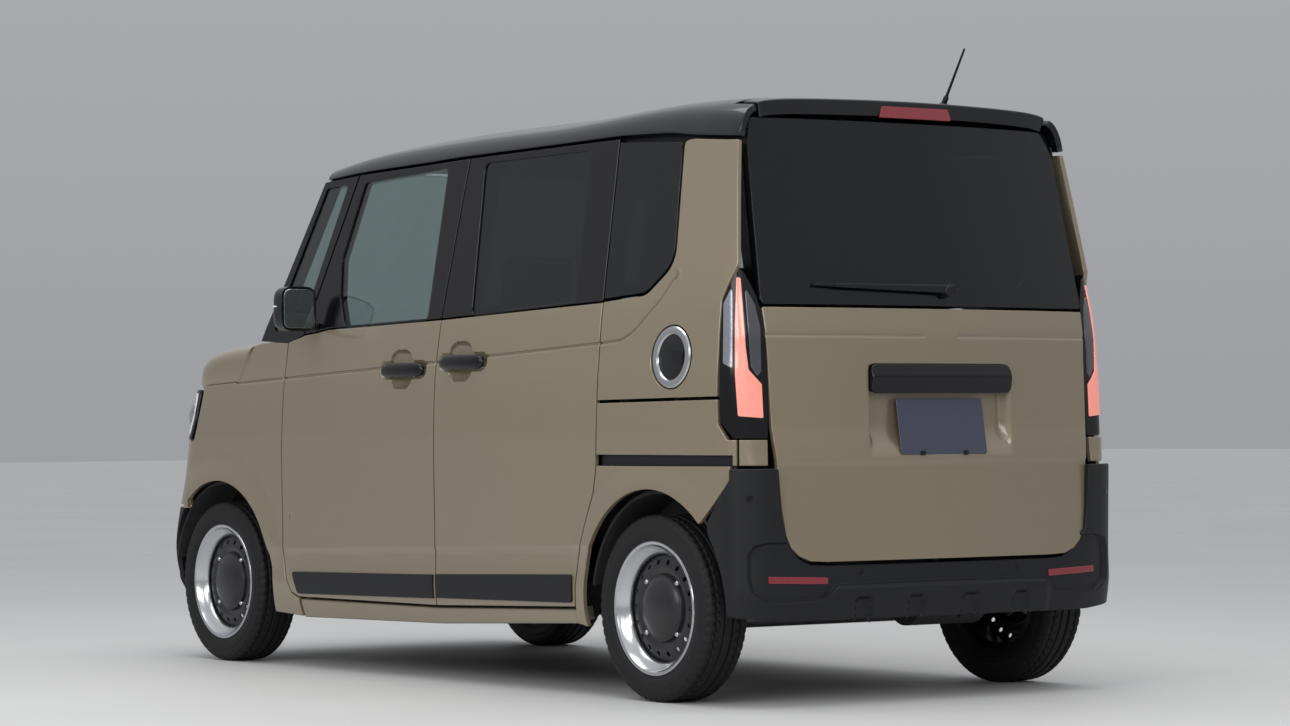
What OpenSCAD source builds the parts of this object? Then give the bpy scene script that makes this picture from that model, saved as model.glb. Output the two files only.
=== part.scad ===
/* [Overall size] */
// Length over the bumpers
car_length = 3395; // [3390:1:3400]
// Width over the doors, without the mirrors
car_width = 1475; // [1460:1:1480]
// Height of the roof crown above the ground
car_height = 1790; // [1770:1:1810]
// Distance between the axles
wheelbase = 2520; // [2510:1:2526]
// Rear axle to the rear end
rear_overhang = 465; // [460:1:470]

/* [Running gear] */
// Distance between the wheels of one axle, middle to middle
track = 1305; // [1295:1:1312]
// Outer radius of a tyre
tyre_r = 274; // [270:1:277]
// Width of a tyre
tyre_w = 155; // [148:1:158]
// Radius of a wheel's rim flange
rim_r = 194; // [190:1:197]
// Radius of the wheel arches
arch_r = 345; // [342:1:350]

/* [Panels] */
// Gap between neighbouring panels
gap = 7; // [6.5:0.5:8]
// Width of the lips round the wheel arches
flare_w = 24; // [18:1:28]
// Stand-out of the lips round the wheel arches
flare = 6; // [4:0.5:8]
// Thickness of a door below the waistline
door_t = 62; // [58:1:66]
// Thickness of a door's window frame
frame_t = 34; // [31:1:37]
// Thickness of the glass
glass_t = 5; // [4:0.5:6]
// Radius of the fuel lid
lid_r = 91; // [86:1:94]
// Length of the roof aerial
aerial_l = 200; // [150:5:230]

/* [Hidden] */
$fn = 64;

paint = [0.42, 0.38, 0.30];
black = [0.06, 0.06, 0.07];
trim = [0.12, 0.12, 0.13];
pane = [0.20, 0.24, 0.26, 0.6];
steel = [0.55, 0.56, 0.58];

// Places along the car, forward positive, from the middle of its length
nose_x = car_length / 2;
tail_end = -car_length / 2;
rear_x = tail_end + rear_overhang;
front_x = rear_x + wheelbase;
mid_x = (front_x + rear_x) / 2;
half_w = car_width / 2;
hub_z = tyre_r;
belt_z = 1150;
wheel_y = track / 2;
floor_z = 330;
inner_y = half_w - 137.5;
house_y = wheel_y - 112.5;
// Fender's front edge, against the nose
fender_end = nose_x - 198;
// Line up the front of the rear wheel arch, which the rear door follows
c_x = rear_x + arch_r;
roof_end = rear_x - 258;
roof_gap = 12;
roof_t = 38;
// Height of the roof's inner edge above its outer one
lip = 2;
// Height where the nose panel stands on the front bumper
nose_low = 531;
// Bow of the roof's rear edge in plan
roof_bow = 60;
// Clearance of pieces that sit against each other
seat_gap = 0.3;

// Heights above the waistline follow the roof
function up(z) = belt_z + (z - belt_z) * (car_height - belt_z) / 640;

// Side wall: height, inset from half the width
SIDE = [
    [170, 34], [190, 24], [225, 14], [270, 8], [345, 4], [430, 5], [520, 4], [640, 1.5], [800, 0],
    [900, 1.5], [960, 4], [1010, 9], [1080, 14], [1150, 21], [up(1250), 37], [up(1400), 62],
    [up(1550), 87], [up(1660), 105], [up(1700), 113]];
// Tuck of the side wall behind the rear axle: distance behind it, inset
REAR_TUCK = [[150, 0], [260, 4], [310, 9], [355, 20], [390, 38], [430, 70], [465, 110]];
// Nose in plan: height, start of the corner behind the front end, set-back of the middle, squareness
NOSE = [
    [180, 215, 26, 4], [300, 197, 3, 5], [420, 197, 0, 5], [520, 237, 8, 4.5], [622, 277, 30, 4],
    [832, 347, 62, 4], [955, 407, 108, 4], [1010, 447, 138, 4]];
// Tail at the middle of the car: height, set-back from the rear end, bow over 620 mm
TAIL = [
    [240, 14, 22], [330, 0, 22], [413, 3, 24], [690, 3, 40], [720, 6, 42], [1000, 8, 56], [1071, 10, 57],
    [1152, 24, 57], [up(1420), 80, 60], [up(1676), 132, 62], [up(1730), 144, 62], [up(1790), 160, 62]];
// Roof crown: place forward of the middle of the wheelbase, height
CROWN = [
    [-1640, up(1742)], [-1520, up(1757)], [-1130, up(1781)], [-730, up(1789)], [-230, up(1790)],
    [70, up(1787)], [320, up(1775)], [530, up(1752)], [670, up(1722)], [760, up(1690)]];
// Roof rail, the upper edge of the doors: place as above, height
RAIL = [
    [-1570, up(1632)], [-1330, up(1650)], [-1245, up(1663)], [-980, up(1671)], [-110, up(1659)],
    [65, up(1653)], [460, up(1644)], [710, up(1630)]];
// Roof section: share of the half width, share of the drop from crown to rail
ARCH = [
    [0, 0], [0.25, 0.035], [0.5, 0.14], [0.7, 0.28], [0.79, 0.38], [0.88, 0.48], [0.95, 0.6],
    [0.985, 0.78], [1, 1]];

// Jacking pads under the sills
jack_x = [rear_x + 450, front_x - 620];
jack_y = half_w - 87.5;
jack_z = 170;
// Steering column: upper end and lean from upright
column_end = [front_x - 690, -inner_y / 2 - 20, 925];
column_a = 70;
// Front door hinges: heights and the vertical axis
hinge_z = [520, 880];
hinge_x = front_x - 470;
hinge_y = half_w - 12;
// Tailgate hinge axis, across the car, and its depth under the skin of the roof
gate_x = roof_end - roof_gap - 25;
gate_y = 200;
pin_depth = 7.23853;
gate_z = roof_z(gate_x, gate_y) - pin_depth;
// Bonnet hinge axis, across the car
lift_x = front_x - 222;
lift_y = half_w - 177.5;
lift_z = 1070;
// Fuel lid: middle and hinge axis
lid_x = rear_x - 103;
lid_z = 1007;
lid_out = half_w - 6;
lid_t = 12;
lid_hinge_x = lid_r - 12;
lid_hinge_y = -5;
lid_tilt = 4.3;
// Width of the fuel lid's bright ring
lid_ring = 25;

function column(table, col) = [for (r = table) [r[0], r[col]]];
function side_inset(z) = lookup(z, SIDE);
function nose(z, col) = lookup(z, column(NOSE, col));
function crown_z(x) = lookup(x - mid_x, CROWN);
function rail_z(x) = lookup(x - mid_x, RAIL);
function nose_share(x, z) =
    let (start = nose_x - nose(z, 1), end = nose_x - nose(z, 2), n = nose(z, 3))
    let (u = min(1, max(0, (x - start) / (end - start))))
    pow(1 - pow(u, n), 1 / n);
function side_y(x, z) = (half_w - side_inset(z)) * nose_share(x, z) - lookup(rear_x - x, REAR_TUCK);
function wall_t(z) = lookup(z, [[belt_z - 12, door_t], [belt_z, frame_t]]);
function tail_x(y, z) =
    tail_end + lookup(z, column(TAIL, 1)) + lookup(z, column(TAIL, 2)) * pow(abs(y) / 620, 2);
function nose_point(t, z, inset = 0) =
    let (start = nose_x - nose(z, 1), end = nose_x - nose(z, 2) - inset, n = nose(z, 3))
    let (w = half_w - side_inset(z) - inset, c = cos(t))
    [start + (end - start) * pow(sin(t), 2 / n), (c < 0 ? -1 : 1) * w * pow(abs(c), 2 / n), z];
function rear_point(t, z, inset = 0) =
    let (start = rear_x - 268, end = tail_end + lookup(z, column(TAIL, 1)) + inset)
    let (w = half_w - side_inset(z) - inset, c = cos(t))
    [start + (end - start) * pow(sin(t), 0.4), (c < 0 ? -1 : 1) * w * pow(abs(c), 0.4), z];
function roof_point(x, s, inset = 0) =
    let (rise = crown_z(x) - inset - rail_z(x) - (inset > 0 ? lip : 0) - gap / 2)
    let (w = half_w - side_inset(rail_z(x)) - inset - lookup(rear_x - x, REAR_TUCK))
    [x, s * w, crown_z(x) - inset - lookup(abs(s), ARCH) * rise];
function roof_z(x, y) = roof_point(x, y / roof_point(x, 1).y).z;
function flip(list) = [for (i = [len(list) - 1:-1:0]) list[i]];

// Closed sheet between two grids of points. Rows run so that row x column points inwards
module sheet(outer, inner) {
    n = len(outer);
    m = len(outer[0]);
    function o(i, j) = i * m + j;
    function q(i, j) = n * m + i * m + j;
    points = concat([for (r = outer) each r], [for (r = inner) each r]);
    skin = [for (i = [0:n - 2], j = [0:m - 2]) each [
        [o(i, j), o(i + 1, j), o(i + 1, j + 1)], [o(i, j), o(i + 1, j + 1), o(i, j + 1)],
        [q(i, j), q(i + 1, j + 1), q(i + 1, j)], [q(i, j), q(i, j + 1), q(i + 1, j + 1)]]];
    ends = [for (i = [0:n - 2]) each [
        [o(i, 0), q(i, 0), q(i + 1, 0)], [o(i, 0), q(i + 1, 0), o(i + 1, 0)],
        [o(i, m - 1), q(i + 1, m - 1), q(i, m - 1)], [o(i, m - 1), o(i + 1, m - 1), q(i + 1, m - 1)]]];
    sides = [for (j = [0:m - 2]) each [
        [o(0, j), o(0, j + 1), q(0, j + 1)], [o(0, j), q(0, j + 1), q(0, j)],
        [o(n - 1, j), q(n - 1, j + 1), o(n - 1, j + 1)], [o(n - 1, j), q(n - 1, j), q(n - 1, j + 1)]]];
    polyhedron(points, concat(skin, ends, sides));
}

// Prism of a side-view outline, over one side of the car
module side_cut(y0 = half_w - 357.5, y1 = half_w + 162.5) {
    rotate([90, 0, 0]) translate([0, 0, -y1]) linear_extrude(y1 - y0) children();
}
// Prism of a rear-view outline (across, up), over a stretch of the length
module end_cut(x0, x1) {
    translate([x0, 0, 0]) rotate([90, 0, 90]) linear_extrude(x1 - x0) children();
}
module both() {
    children();
    mirror([0, 1, 0]) children();
}
module rounded(r) {
    offset(r = r, $fn = 32) offset(delta = -r) children();
}
// Round bar from a to b
module bar(a, b, r) {
    d = b - a;
    translate(a) rotate([0, acos(d.z / norm(d)), atan2(d.y, d.x)]) cylinder(r = r, h = norm(d), $fn = 32);
}
module box(x0, x1, y0, y1, z0, z1) {
    translate([x0, y0, z0]) cube([x1 - x0, y1 - y0, z1 - z0]);
}

// Seams of the side wall (along, up), from below upwards
A_SEAM = [
    [front_x - 512, 236], [front_x - 467, 252], [front_x - 436, 300], [front_x - 421, 376],
    [front_x - 421, 730], [front_x - 436, 972], [front_x - 447, 1085], [front_x - 545, 1112],
    [front_x - 615, up(1270)], [front_x - 768, rail_z(front_x - 768)]];
B_SEAM = [
    [mid_x - 100, 238], [mid_x - 102, 700], [mid_x - 107, 1000], [mid_x - 122, belt_z],
    [mid_x - 167, rail_z(mid_x - 167)]];
C_SEAM = [
    [c_x + 47, 262], [c_x + 42, 330], [c_x + 25, 406], [c_x - 18, 520], [c_x - 58, 610], [c_x - 73, 680],
    [c_x - 81, 885], [c_x - 84, 1174], [c_x - 63, rail_z(c_x - 63)]];
// Rear edge of the quarter panel: round the arch, bumper, lamp and tailgate
D_SEAM = [
    [rear_x - 254, 531], [rear_x - 368, 655], [rear_x - 368, 690], [tail_end, 690], [tail_end, 768],
    [rear_x - 320, 768], [rear_x - 314, 1166], [rear_x - 332, 1215], [rear_x - 357, 1270],
    [rear_x - 299, up(1634)]];
// Rear edge of the bonnet on the side of the car, from below upwards
E_SEAM = [[front_x - 128, 960], [front_x - 158, 1040], [front_x - 168, 1110]];
function rail_run(x0, x1, n) = [for (i = [1:n - 1]) let (x = x0 + (x1 - x0) * i / n) [x, rail_z(x)]];

module panel_2d() {
    offset(delta = -gap / 2) children();
}
module front_door_2d() {
    panel_2d() polygon(concat(A_SEAM, rail_run(front_x - 768, mid_x - 167, 5), flip(B_SEAM)));
}
module sliding_door_2d() {
    panel_2d() polygon(concat(B_SEAM, rail_run(mid_x - 167, c_x - 63, 6), flip(C_SEAM)));
}
module quarter_2d() {
    panel_2d() difference() {
        polygon(concat(C_SEAM, rail_run(c_x - 63, rear_x - 299, 5), flip(D_SEAM),
            [[rear_x - 254, 200], [c_x + 47, 200]]));
        translate([rear_x, hub_z]) circle(arch_r - gap / 2, $fn = 96);
        translate([rear_x - 700, 0]) square([700, 531]);
    }
}
module fender_2d() {
    panel_2d() difference() {
        polygon(concat([[front_x - 512, 178]], [for (i = [0:6]) A_SEAM[i]], [
            [front_x - 262, 1096], [front_x - 166, 1096], E_SEAM[1], [front_x - 132, 964],
            [fender_end, 946], [fender_end, nose_low], [front_x, nose_low], [front_x, 178]]));
        translate([front_x, hub_z]) circle(arch_r - gap / 2, $fn = 96);
    }
}
module front_window_2d() {
    rounded(22) polygon([
        [front_x - 797, 1140], [mid_x - 40, 1148], [mid_x - 45, up(1634)], [front_x - 809, up(1612)],
        [front_x - 727, up(1360)], [front_x - 752, up(1230)]]);
}
module sliding_window_2d() {
    rounded(22) polygon([
        [mid_x - 292, 1159], [c_x + 60, 1184], [c_x + 81, up(1643)], [mid_x - 257, up(1637)]]);
}
module quarter_window_2d() {
    rounded(20) polygon([
        [c_x - 113, 1187], [rear_x + 49, 1200], [rear_x - 72, 1284], [rear_x - 40, up(1638)], [c_x - 95, up(1650)]]);
}
module corner_window_2d() {
    rounded(12) polygon([
        [front_x - 500, 1130], [front_x - 345, 1130], [front_x - 415, up(1290)], [front_x - 570, up(1605)],
        [front_x - 705, up(1612)], [front_x - 575, up(1270)]]);
}
// Screen pillar with the small window, from the cowl to the roof
module screen_pillar_2d() {
    difference() {
        panel_2d() polygon([
            A_SEAM[6], [front_x - 262, 1096], [front_x - 371, up(1286)], [front_x - 552, rail_z(front_x - 552)],
            A_SEAM[9], A_SEAM[8], A_SEAM[7]]);
        corner_window_2d();
    }
}
module tailgate_2d() {
    // Inset from half the width, height
    edge = [
        [307.5, 413], [247.5, 416], [207.5, 432], [181.5, 455], [163.5, 490], [152.5, 560], [141.5, 690],
        [130.5, 800], [126.5, 1000], [117.5, 1152], [127.5, up(1300)], [146.5, up(1640)], [165.5, up(1690)],
        [337.5, up(1712)]];
    half = concat([for (r = edge) [half_w - r.x, r.y]], [[0, up(1735)]]);
    polygon(concat(half, [for (p = flip(half)) [-p.x, p.y]]));
}
module rear_glass_2d() {
    half = [[half_w - 125.5, 1156], [half_w - 137.5, up(1300)], [half_w - 163.5, up(1668)]];
    rounded(30) polygon(concat(half, [for (p = flip(half)) [-p.x, p.y]]));
}
module tail_lamp_2d() {
    translate([half_w, 0]) polygon([
        [-119.5, 770], [22.5, 770], [22.5, 1290], [-61.5, 1268], [-87.5, 1215], [-105.5, 1150], [-113.5, 1000]]);
}
module headlamp_2d() {
    rounded(70) square([330, 180]);
}

// Extruded section of the side wall, for the straight stretch between the axles
module wall_section(x0, x1, outer = 0, t = -1) {
    end_cut(x0, x1) polygon(concat(
        [for (r = SIDE) [half_w - r[1] - outer, r[0]]],
        [for (r = flip(SIDE)) [half_w - r[1] - outer - (t < 0 ? wall_t(r[0]) : t), r[0]]]));
}
// Curved side wall on a grid, with its own thickness
module wall_grid(xs, zs, outer = 0, t = -1) {
    sheet(
        [for (x = xs) [for (z = zs) [x, side_y(x, z) - outer, z]]],
        [for (x = xs) [for (z = zs) [x, side_y(x, z) - outer - (t < 0 ? wall_t(z) : t), z]]]);
}
function rows(z0, z1) = concat([z0], [for (r = SIDE) if (r[0] > z0 && r[0] < z1) r[0]], [z1]);
function steps(a, b, n) = [for (i = [0:n]) a + (b - a) * i / n];
rear_xs = concat(steps(rear_x + 300, rear_x - 150, 3), [for (r = REAR_TUCK) if (r[0] > 150) rear_x - r[0]]);
function back_xs() = flip(rear_xs);
// Everything in front of the tail's surface, on one side of the car
module tail_space() {
    ys = steps(half_w - 357.5, half_w + 22.5, 6);
    zs = [for (r = TAIL) r[0]];
    sheet(
        [for (y = ys) [for (z = zs) [tail_x(y, z), y, z]]],
        [for (y = ys) [for (z = zs) [rear_x + 400, y, z]]]);
}

module arch_space(x, y0) {
    both() translate([x, half_w + 62.5, hub_z]) rotate([90, 0, 0])
        cylinder(r = arch_r, h = half_w + 62.5 - y0, $fn = 96);
}
module floor_pan() {
    color(trim) difference() {
        union() {
            box(rear_x + 360, front_x - 300, -inner_y, inner_y, floor_z - 40, floor_z);
            box(rear_x + 30, rear_x + 370, -house_y, house_y, floor_z - 25, floor_z);
            box(rear_x + 30, rear_x + 60, -house_y, house_y, floor_z - 25, 470);
            box(rear_x - 380, rear_x + 60, -house_y, house_y, 430, 470);
            box(front_x - 330, front_x - 300, -inner_y, inner_y, floor_z - 40, 1070);
            for (s = [-1, 1]) {
                box(rear_x - 380, rear_x + 60, s * 380 - 30, s * 380 + 30, 370, 440);
                box(tail_end + 45, rear_x - 370, s * 380 - 30, s * 380 + 30, 370, 396);
                box(front_x - 310, nose_x - 42, s * 360 - 30, s * 360 + 30, 420, 500);
                box(front_x - 310, lift_x + 8, s * lift_y - 14, s * lift_y + 14, lift_z - 10, lift_z + 8);
                translate([lift_x, s * lift_y - 34, lift_z]) rotate([-90, 0, 0]) cylinder(r = 5, h = 68, $fn = 32);
            }
        }
        arch_space(front_x, 400);
    }
}
// Wheel-arch shell from y0 out to y1, above a height, closed inwards by a wall where one is wanted
module wheel_house(x, y0, y1, t, low, wall) {
    difference() {
        translate([x, y1, hub_z]) rotate([90, 0, 0]) cylinder(r = arch_r - seat_gap, h = y1 - y0, $fn = 96);
        translate([x, y1 + 1, hub_z]) rotate([90, 0, 0]) cylinder(r = arch_r - t, h = y1 - y0 - wall + 1, $fn = 96);
        box(x - arch_r, x + arch_r, y0 - 1, y1 + 2, hub_z - arch_r, low);
    }
}
module wheel_houses() {
    color(black) both() {
        wheel_house(rear_x, house_y, half_w - 37.5, 10, floor_z, 10);
        wheel_house(front_x, wheel_y - 82.5, half_w - 22.5, 7, 350, -1);
    }
}
module sills() {
    color(paint) both() union() {
        end_cut(c_x - 15, front_x - 512) translate([half_w, 0]) polygon([
            [inner_y - half_w, 200], [-47.5, 182], [-31.5, 186], [-15.5, 230], [-81.5, 230], [-91.5, floor_z],
            [inner_y - half_w, floor_z]]);
        for (x = jack_x) box(x - 40, x + 40, jack_y - 30, jack_y + 30, jack_z, 220);
    }
}
module fenders() {
    xs = concat(
        [front_x - 520, front_x - 300, front_x - 180, front_x - 60],
        [for (d = [152, 92, 52, 22, -8]) fender_end - d]);
    color(paint) both() difference() {
        union() {
            intersection() {
                wall_grid(xs, rows(172, 1100), 0, 24);
                side_cut() fender_2d();
            }
            intersection() {
                wall_grid(xs, rows(172, 700), -flare, 24);
                side_cut() intersection() {
                    fender_2d();
                    arch_flare_2d(front_x);
                }
            }
        }
        headlamp_space(gap / 2);
    }
}
// Raised lip round a wheel arch
module arch_flare_2d(x) {
    translate([x, hub_z]) circle(arch_r + flare_w, $fn = 96);
}
module headlamp_space(grow) {
    end_cut(fender_end - 62, nose_x + 10) offset(delta = grow) translate([half_w - 297.5, 760]) headlamp_2d();
}
module hinge_arm(z) {
    box(hinge_x - 7, hinge_x + 7, half_w - 97.5, hinge_y, z - 22, z + 22);
    translate([hinge_x, hinge_y, z - 22]) cylinder(r = 8, h = 44);
    translate([hinge_x, hinge_y, z - 50]) cylinder(r = 5, h = 100, $fn = 32);
    box(hinge_x - 7, front_x - 430, half_w - 107.5, half_w - 92.5, z - 22, z + 22);
}
module pillars() {
    color(black) difference() {
        both() {
            intersection() {
                wall_grid([front_x - 800, front_x - 600, front_x - 400, front_x - 250], rows(1050, up(1700)), 0, 56);
                side_cut() screen_pillar_2d();
            }
            wall_grid([mid_x - 190, mid_x - 20], rows(floor_z, up(1730)), door_t + 12, 40);
            box(front_x - 440, front_x - 300, inner_y, half_w - 92.5, floor_z - 60, 1052);
            box(front_x - 400, front_x - 300, inner_y, half_w - 47.5, 1040, 1100);
            for (z = hinge_z) hinge_arm(z);
        }
        roof_shell(7);
        screen_shape();
        arch_space(front_x, 400);
    }
}
// Rows of the roof's grid along the car, and a row's place at a share of the half width
roof_n = 14;
function roof_x(k, s) =
    k == 0 ? roof_end + roof_bow * s * s
    : k == roof_n ? front_x - 506 - 62 * s * s
    : roof_end + (front_x - 570 - roof_end) * k / roof_n;
roof_shares = concat([for (r = flip(ARCH)) -r[0]], [for (r = ARCH) if (r[0] > 0) r[0]]);
module roof_shell(first = 0, last = roof_n, shares = roof_shares) {
    sheet(
        [for (s = shares) [for (k = [first:last]) roof_point(roof_x(k, s), s)]],
        [for (s = shares) [for (k = [first:last]) roof_point(roof_x(k, s), s, roof_t)]]);
}
module roof() {
    color(black) union() {
        roof_shell();
        both() gate_arm();
    }
}
// Bent hinge arm of the tailgate, from under the roof down and back to the pin
module gate_arm() {
    side_cut(gate_y - 10, gate_y + 10) polygon([
        [gate_x - 7, gate_z], [gate_x - 7, gate_z - 58], [roof_end + 60, gate_z - 58],
        [roof_end + 60, crown_z(roof_end + 60) - roof_t + 4], [roof_end + 20, crown_z(roof_end + 20) - roof_t + 4],
        [roof_end + 14, gate_z - 40], [gate_x + 7, gate_z - 40], [gate_x + 7, gate_z]]);
    translate([gate_x, gate_y - 10, gate_z]) rotate([-90, 0, 0]) cylinder(r = 7, h = 20);
    translate([gate_x, gate_y - 26, gate_z]) rotate([-90, 0, 0]) cylinder(r = 4, h = 52, $fn = 32);
}
module gate_pocket() {
    box(gate_x - 12.5, roof_end, gate_y - 15, gate_y + 15, gate_z - 66, gate_z + 8);
}
module quarter_panels() {
    color(paint) {
        difference() {
            quarter_wall();
            at_lid() translate([0, 30, 0]) rotate([90, 0, 0]) cylinder(r = lid_r + gap, h = 62);
        }
        mirror([0, 1, 0]) quarter_wall();
        at_lid() translate([lid_hinge_x, lid_hinge_y, -64]) cylinder(r = 2.5, h = 128, $fn = 32);
    }
}
module quarter_wall() {
    difference() {
        intersection() {
            union() {
                wall_grid(back_xs(), rows(190, up(1700)), 0, -1);
                intersection() {
                    wall_grid(back_xs(), rows(190, 700), -flare, door_t);
                    side_cut() arch_flare_2d(rear_x);
                }
            }
            side_cut() quarter_2d();
            tail_space();
        }
        side_cut() quarter_window_2d();
        side_cut(half_w - 28) translate([tail_end + 120, 692]) square([c_x - tail_end - 120, 28]);
        end_cut(tail_end - 10, rear_x - 317 + seat_gap) offset(delta = seat_gap) tail_lamp_2d();
    }
}
module nose_wrap(z0, z1, t, a0 = 0, a1 = 180, n = 24) {
    zs = concat([z0], [for (r = NOSE) if (r[0] > z0 && r[0] < z1) r[0]], [z1]);
    angles = steps(a1, a0, n);
    sheet(
        [for (z = zs) [for (a = angles) nose_point(a, z)]],
        [for (z = zs) [for (a = angles) nose_point(a, z, t)]]);
}
module front_bumper() {
    angles = steps(0, 180, 36);
    outer = [for (a = angles) let (p = nose_point(a, 420)) [p.x, p.y]];
    inner = [for (a = angles) let (p = nose_point(a, 420, 40)) [p.x, p.y]];
    color(black) difference() {
        translate([0, 0, 190]) linear_extrude(nose_low - seat_gap - 190) polygon(concat(outer, flip(inner)));
        arch_space(front_x, house_y);
        end_cut(nose_x - 120, nose_x + 10) translate([407.5 - half_w, 300]) rounded(30) square([2 * half_w - 815, 130]);
    }
}
module nose_panel() {
    color(paint) difference() {
        nose_wrap(nose_low, 940, 34, 4, 176);
        box(0, fender_end + gap / 2, -half_w - 100, half_w + 100, 0, 1200);
        both() headlamp_space(seat_gap);
        end_cut(nose_x - 200, nose_x + 10) translate([-grille_y, 770]) rounded(25) square([2 * grille_y, 120]);
    }
}
grille_y = half_w - 337.5;
module grille() {
    tilt = 15;
    t = 22;
    tall = (120 - 2 * seat_gap - t * sin(tilt)) / cos(tilt);
    color(black) translate([nose_x - 90, 0, 830]) rotate([0, -tilt, 0]) difference() {
        translate([-t / 2, 0, 0]) rotate([90, 0, 90]) linear_extrude(t)
            rounded(24) square([2 * grille_y - 2 * seat_gap, tall], center = true);
        last = floor((grille_y - 48) / 44);
        for (k = [-last:last], j = [-1, 1]) {
            translate([-30, k * 44 + j * 11, j * 22]) rotate([0, 90, 0]) cylinder(r = 11, h = 60, $fn = 24);
        }
    }
}
// Sunk band of the rear bumper: rows of its floor and depth
insert_z = [290, 345, 413, 480];
insert_t = 12;
module insert_2d() {
    half = [
        [half_w - 40.5, 440], [half_w - 47.5, 330], [half_w - 97.5, 298], [half_w - 285.5, 303],
        [half_w - 335.5, 343]];
    rounded(14) polygon(concat(
        [[half_w - 87.5, 476]], half, [for (p = flip(half)) [-p.x, p.y]], [[87.5 - half_w, 476]]));
}
// Layer of the rear bumper between two depths
module rear_band(zs, from, to, first = 0, last = 28) {
    angles = [for (i = [last:-1:first]) i * 180 / 28];
    sheet(
        [for (a = angles) [for (z = zs) rear_point(a, z, from)]],
        [for (a = angles) [for (z = zs) rear_point(a, z, to)]]);
}
module rear_bumper() {
    color(black) difference() {
        rear_band([240, 262, 300, 330, 413, 470, 560, 640, 690], 0, 40);
        end_cut(tail_end - 50, rear_x - 200) offset(delta = gap + 2) tailgate_2d();
        both() side_cut(-1) polygon([
            [rear_x - 254, 531 - gap / 2], [rear_x - 371, 655], [rear_x - 371, 690 - gap], [tail_end - 50, 690 - gap],
            [tail_end - 50, 800], [rear_x, 800], [rear_x, 531]]);
        arch_space(rear_x, -1);
        intersection() {
            rear_band(insert_z, -10, insert_t);
            end_cut(tail_end - 50, rear_x - 200) insert_2d();
        }
        for (y = [-310, -108, 108, 310]) {
            translate([tail_end - 60, y, 312]) rotate([0, 90, 0]) cylinder(r = 26, h = 75);
        }
    }
}
module headlamps() {
    color(pane) both() intersection() {
        nose_wrap(700, 990, 60, 0, 90, 14);
        headlamp_space(0);
    }
}
module tail_lamps() {
    color([0.5, 0.1, 0.1]) both() {
        intersection() {
            wall_grid([for (x = back_xs()) if (x < rear_x - 300) x], rows(740, 1320), 0, 130);
            end_cut(tail_end - 10, rear_x - 317) tail_lamp_2d();
            tail_space();
        }
        intersection() {
            rear_band(insert_z, insert_t - 5, insert_t - seat_gap, 5, 13);
            end_cut(tail_end - 50, rear_x - 200) translate([half_w - 300, 352]) rounded(4) square([202, 22]);
        }
    }
}
function screen_x(y, z) =
    let (s = (z - 1085) / (up(1690) - 1085)) front_x - 212 - 290 * s + 22 * s * (1 - s) * 4 - 75 * pow(y / 650, 2);
module screen_shape() {
    ys = steps(37.5 - half_w, half_w - 37.5, 14);
    zs = steps(1085, up(1690), 6);
    intersection() {
        sheet(
            [for (z = zs) [for (y = ys) [screen_x(y, z), y, z]]],
            [for (z = zs) [for (y = ys) [screen_x(y, z) - glass_t - 2, y, z]]]);
        half = [[half_w - 69.5, 1092], [half_w - 145.5, up(1630)], [half_w - 192.5, up(1668)]];
        end_cut(front_x - 700, front_x - 100) polygon(concat(half, [for (p = flip(half)) [-p.x, p.y]]));
    }
}
module windscreen() {
    color(pane) screen_shape();
}
module fixed_side_glass() {
    color(pane) both() {
        intersection() {
            wall_grid([front_x - 800, front_x - 250], rows(1050, up(1700)), 6, glass_t);
            side_cut() corner_window_2d();
        }
        intersection() {
            wall_section(rear_x + 200, front_x, 6, glass_t);
            side_cut() sliding_window_2d();
        }
        intersection() {
            wall_grid(back_xs(), rows(1100, up(1700)), 6, glass_t);
            side_cut() quarter_window_2d();
        }
    }
}
module sliding_doors() {
    color(paint) both() union() {
        difference() {
            intersection() {
                wall_section(rear_x + 200, mid_x);
                side_cut() sliding_door_2d();
            }
            side_cut() sliding_window_2d();
            handle_bowl(mid_x - 260, 1010);
        }
        for (x = [c_x + 125, mid_x - 300]) box(x, x + 90, half_w - 115.5, half_w - 47.5, floor_z, floor_z + 24);
    }
}
// Hand recess with an upright and a level lobe
module handle_bowl(x, z) {
    for (dz = [-12, 12]) translate([x, half_w + 62, z + dz]) sphere(r = 90, $fn = 48);
    translate([x - 95, half_w + 14, z]) rotate([0, 90, 0]) cylinder(r = 45, h = 190, $fn = 48);
    for (dx = [-95, 95]) translate([x + dx, half_w + 14, z]) sphere(r = 45, $fn = 48);
}
module handle_bar(x, z) {
    translate([x - 130, half_w + 9, z - 15]) rotate([0, 90, 0]) cylinder(r = 13, h = 260, $fn = 32);
    intersection() {
        for (dx = [-108, 108]) {
            translate([x + dx, half_w + 12, z - 15]) rotate([90, 0, 0]) cylinder(r = 9, h = 60, $fn = 32);
        }
        handle_bowl(x, z);
    }
}
module cladding(x0, x1, z0, z1) {
    intersection() {
        wall_section(x0 - 50, x1 + 50, -9, 9);
        side_cut() rounded(14) polygon([[x0 + 20, z0], [x1 - 30, z0 - 10], [x1, z1 - 20], [x0, z1]]);
    }
}
module sliding_door_trim() {
    color(black) both() {
        handle_bar(mid_x - 260, 1010);
        cladding(c_x + 53, mid_x - 110, 274, 360);
    }
}
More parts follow.
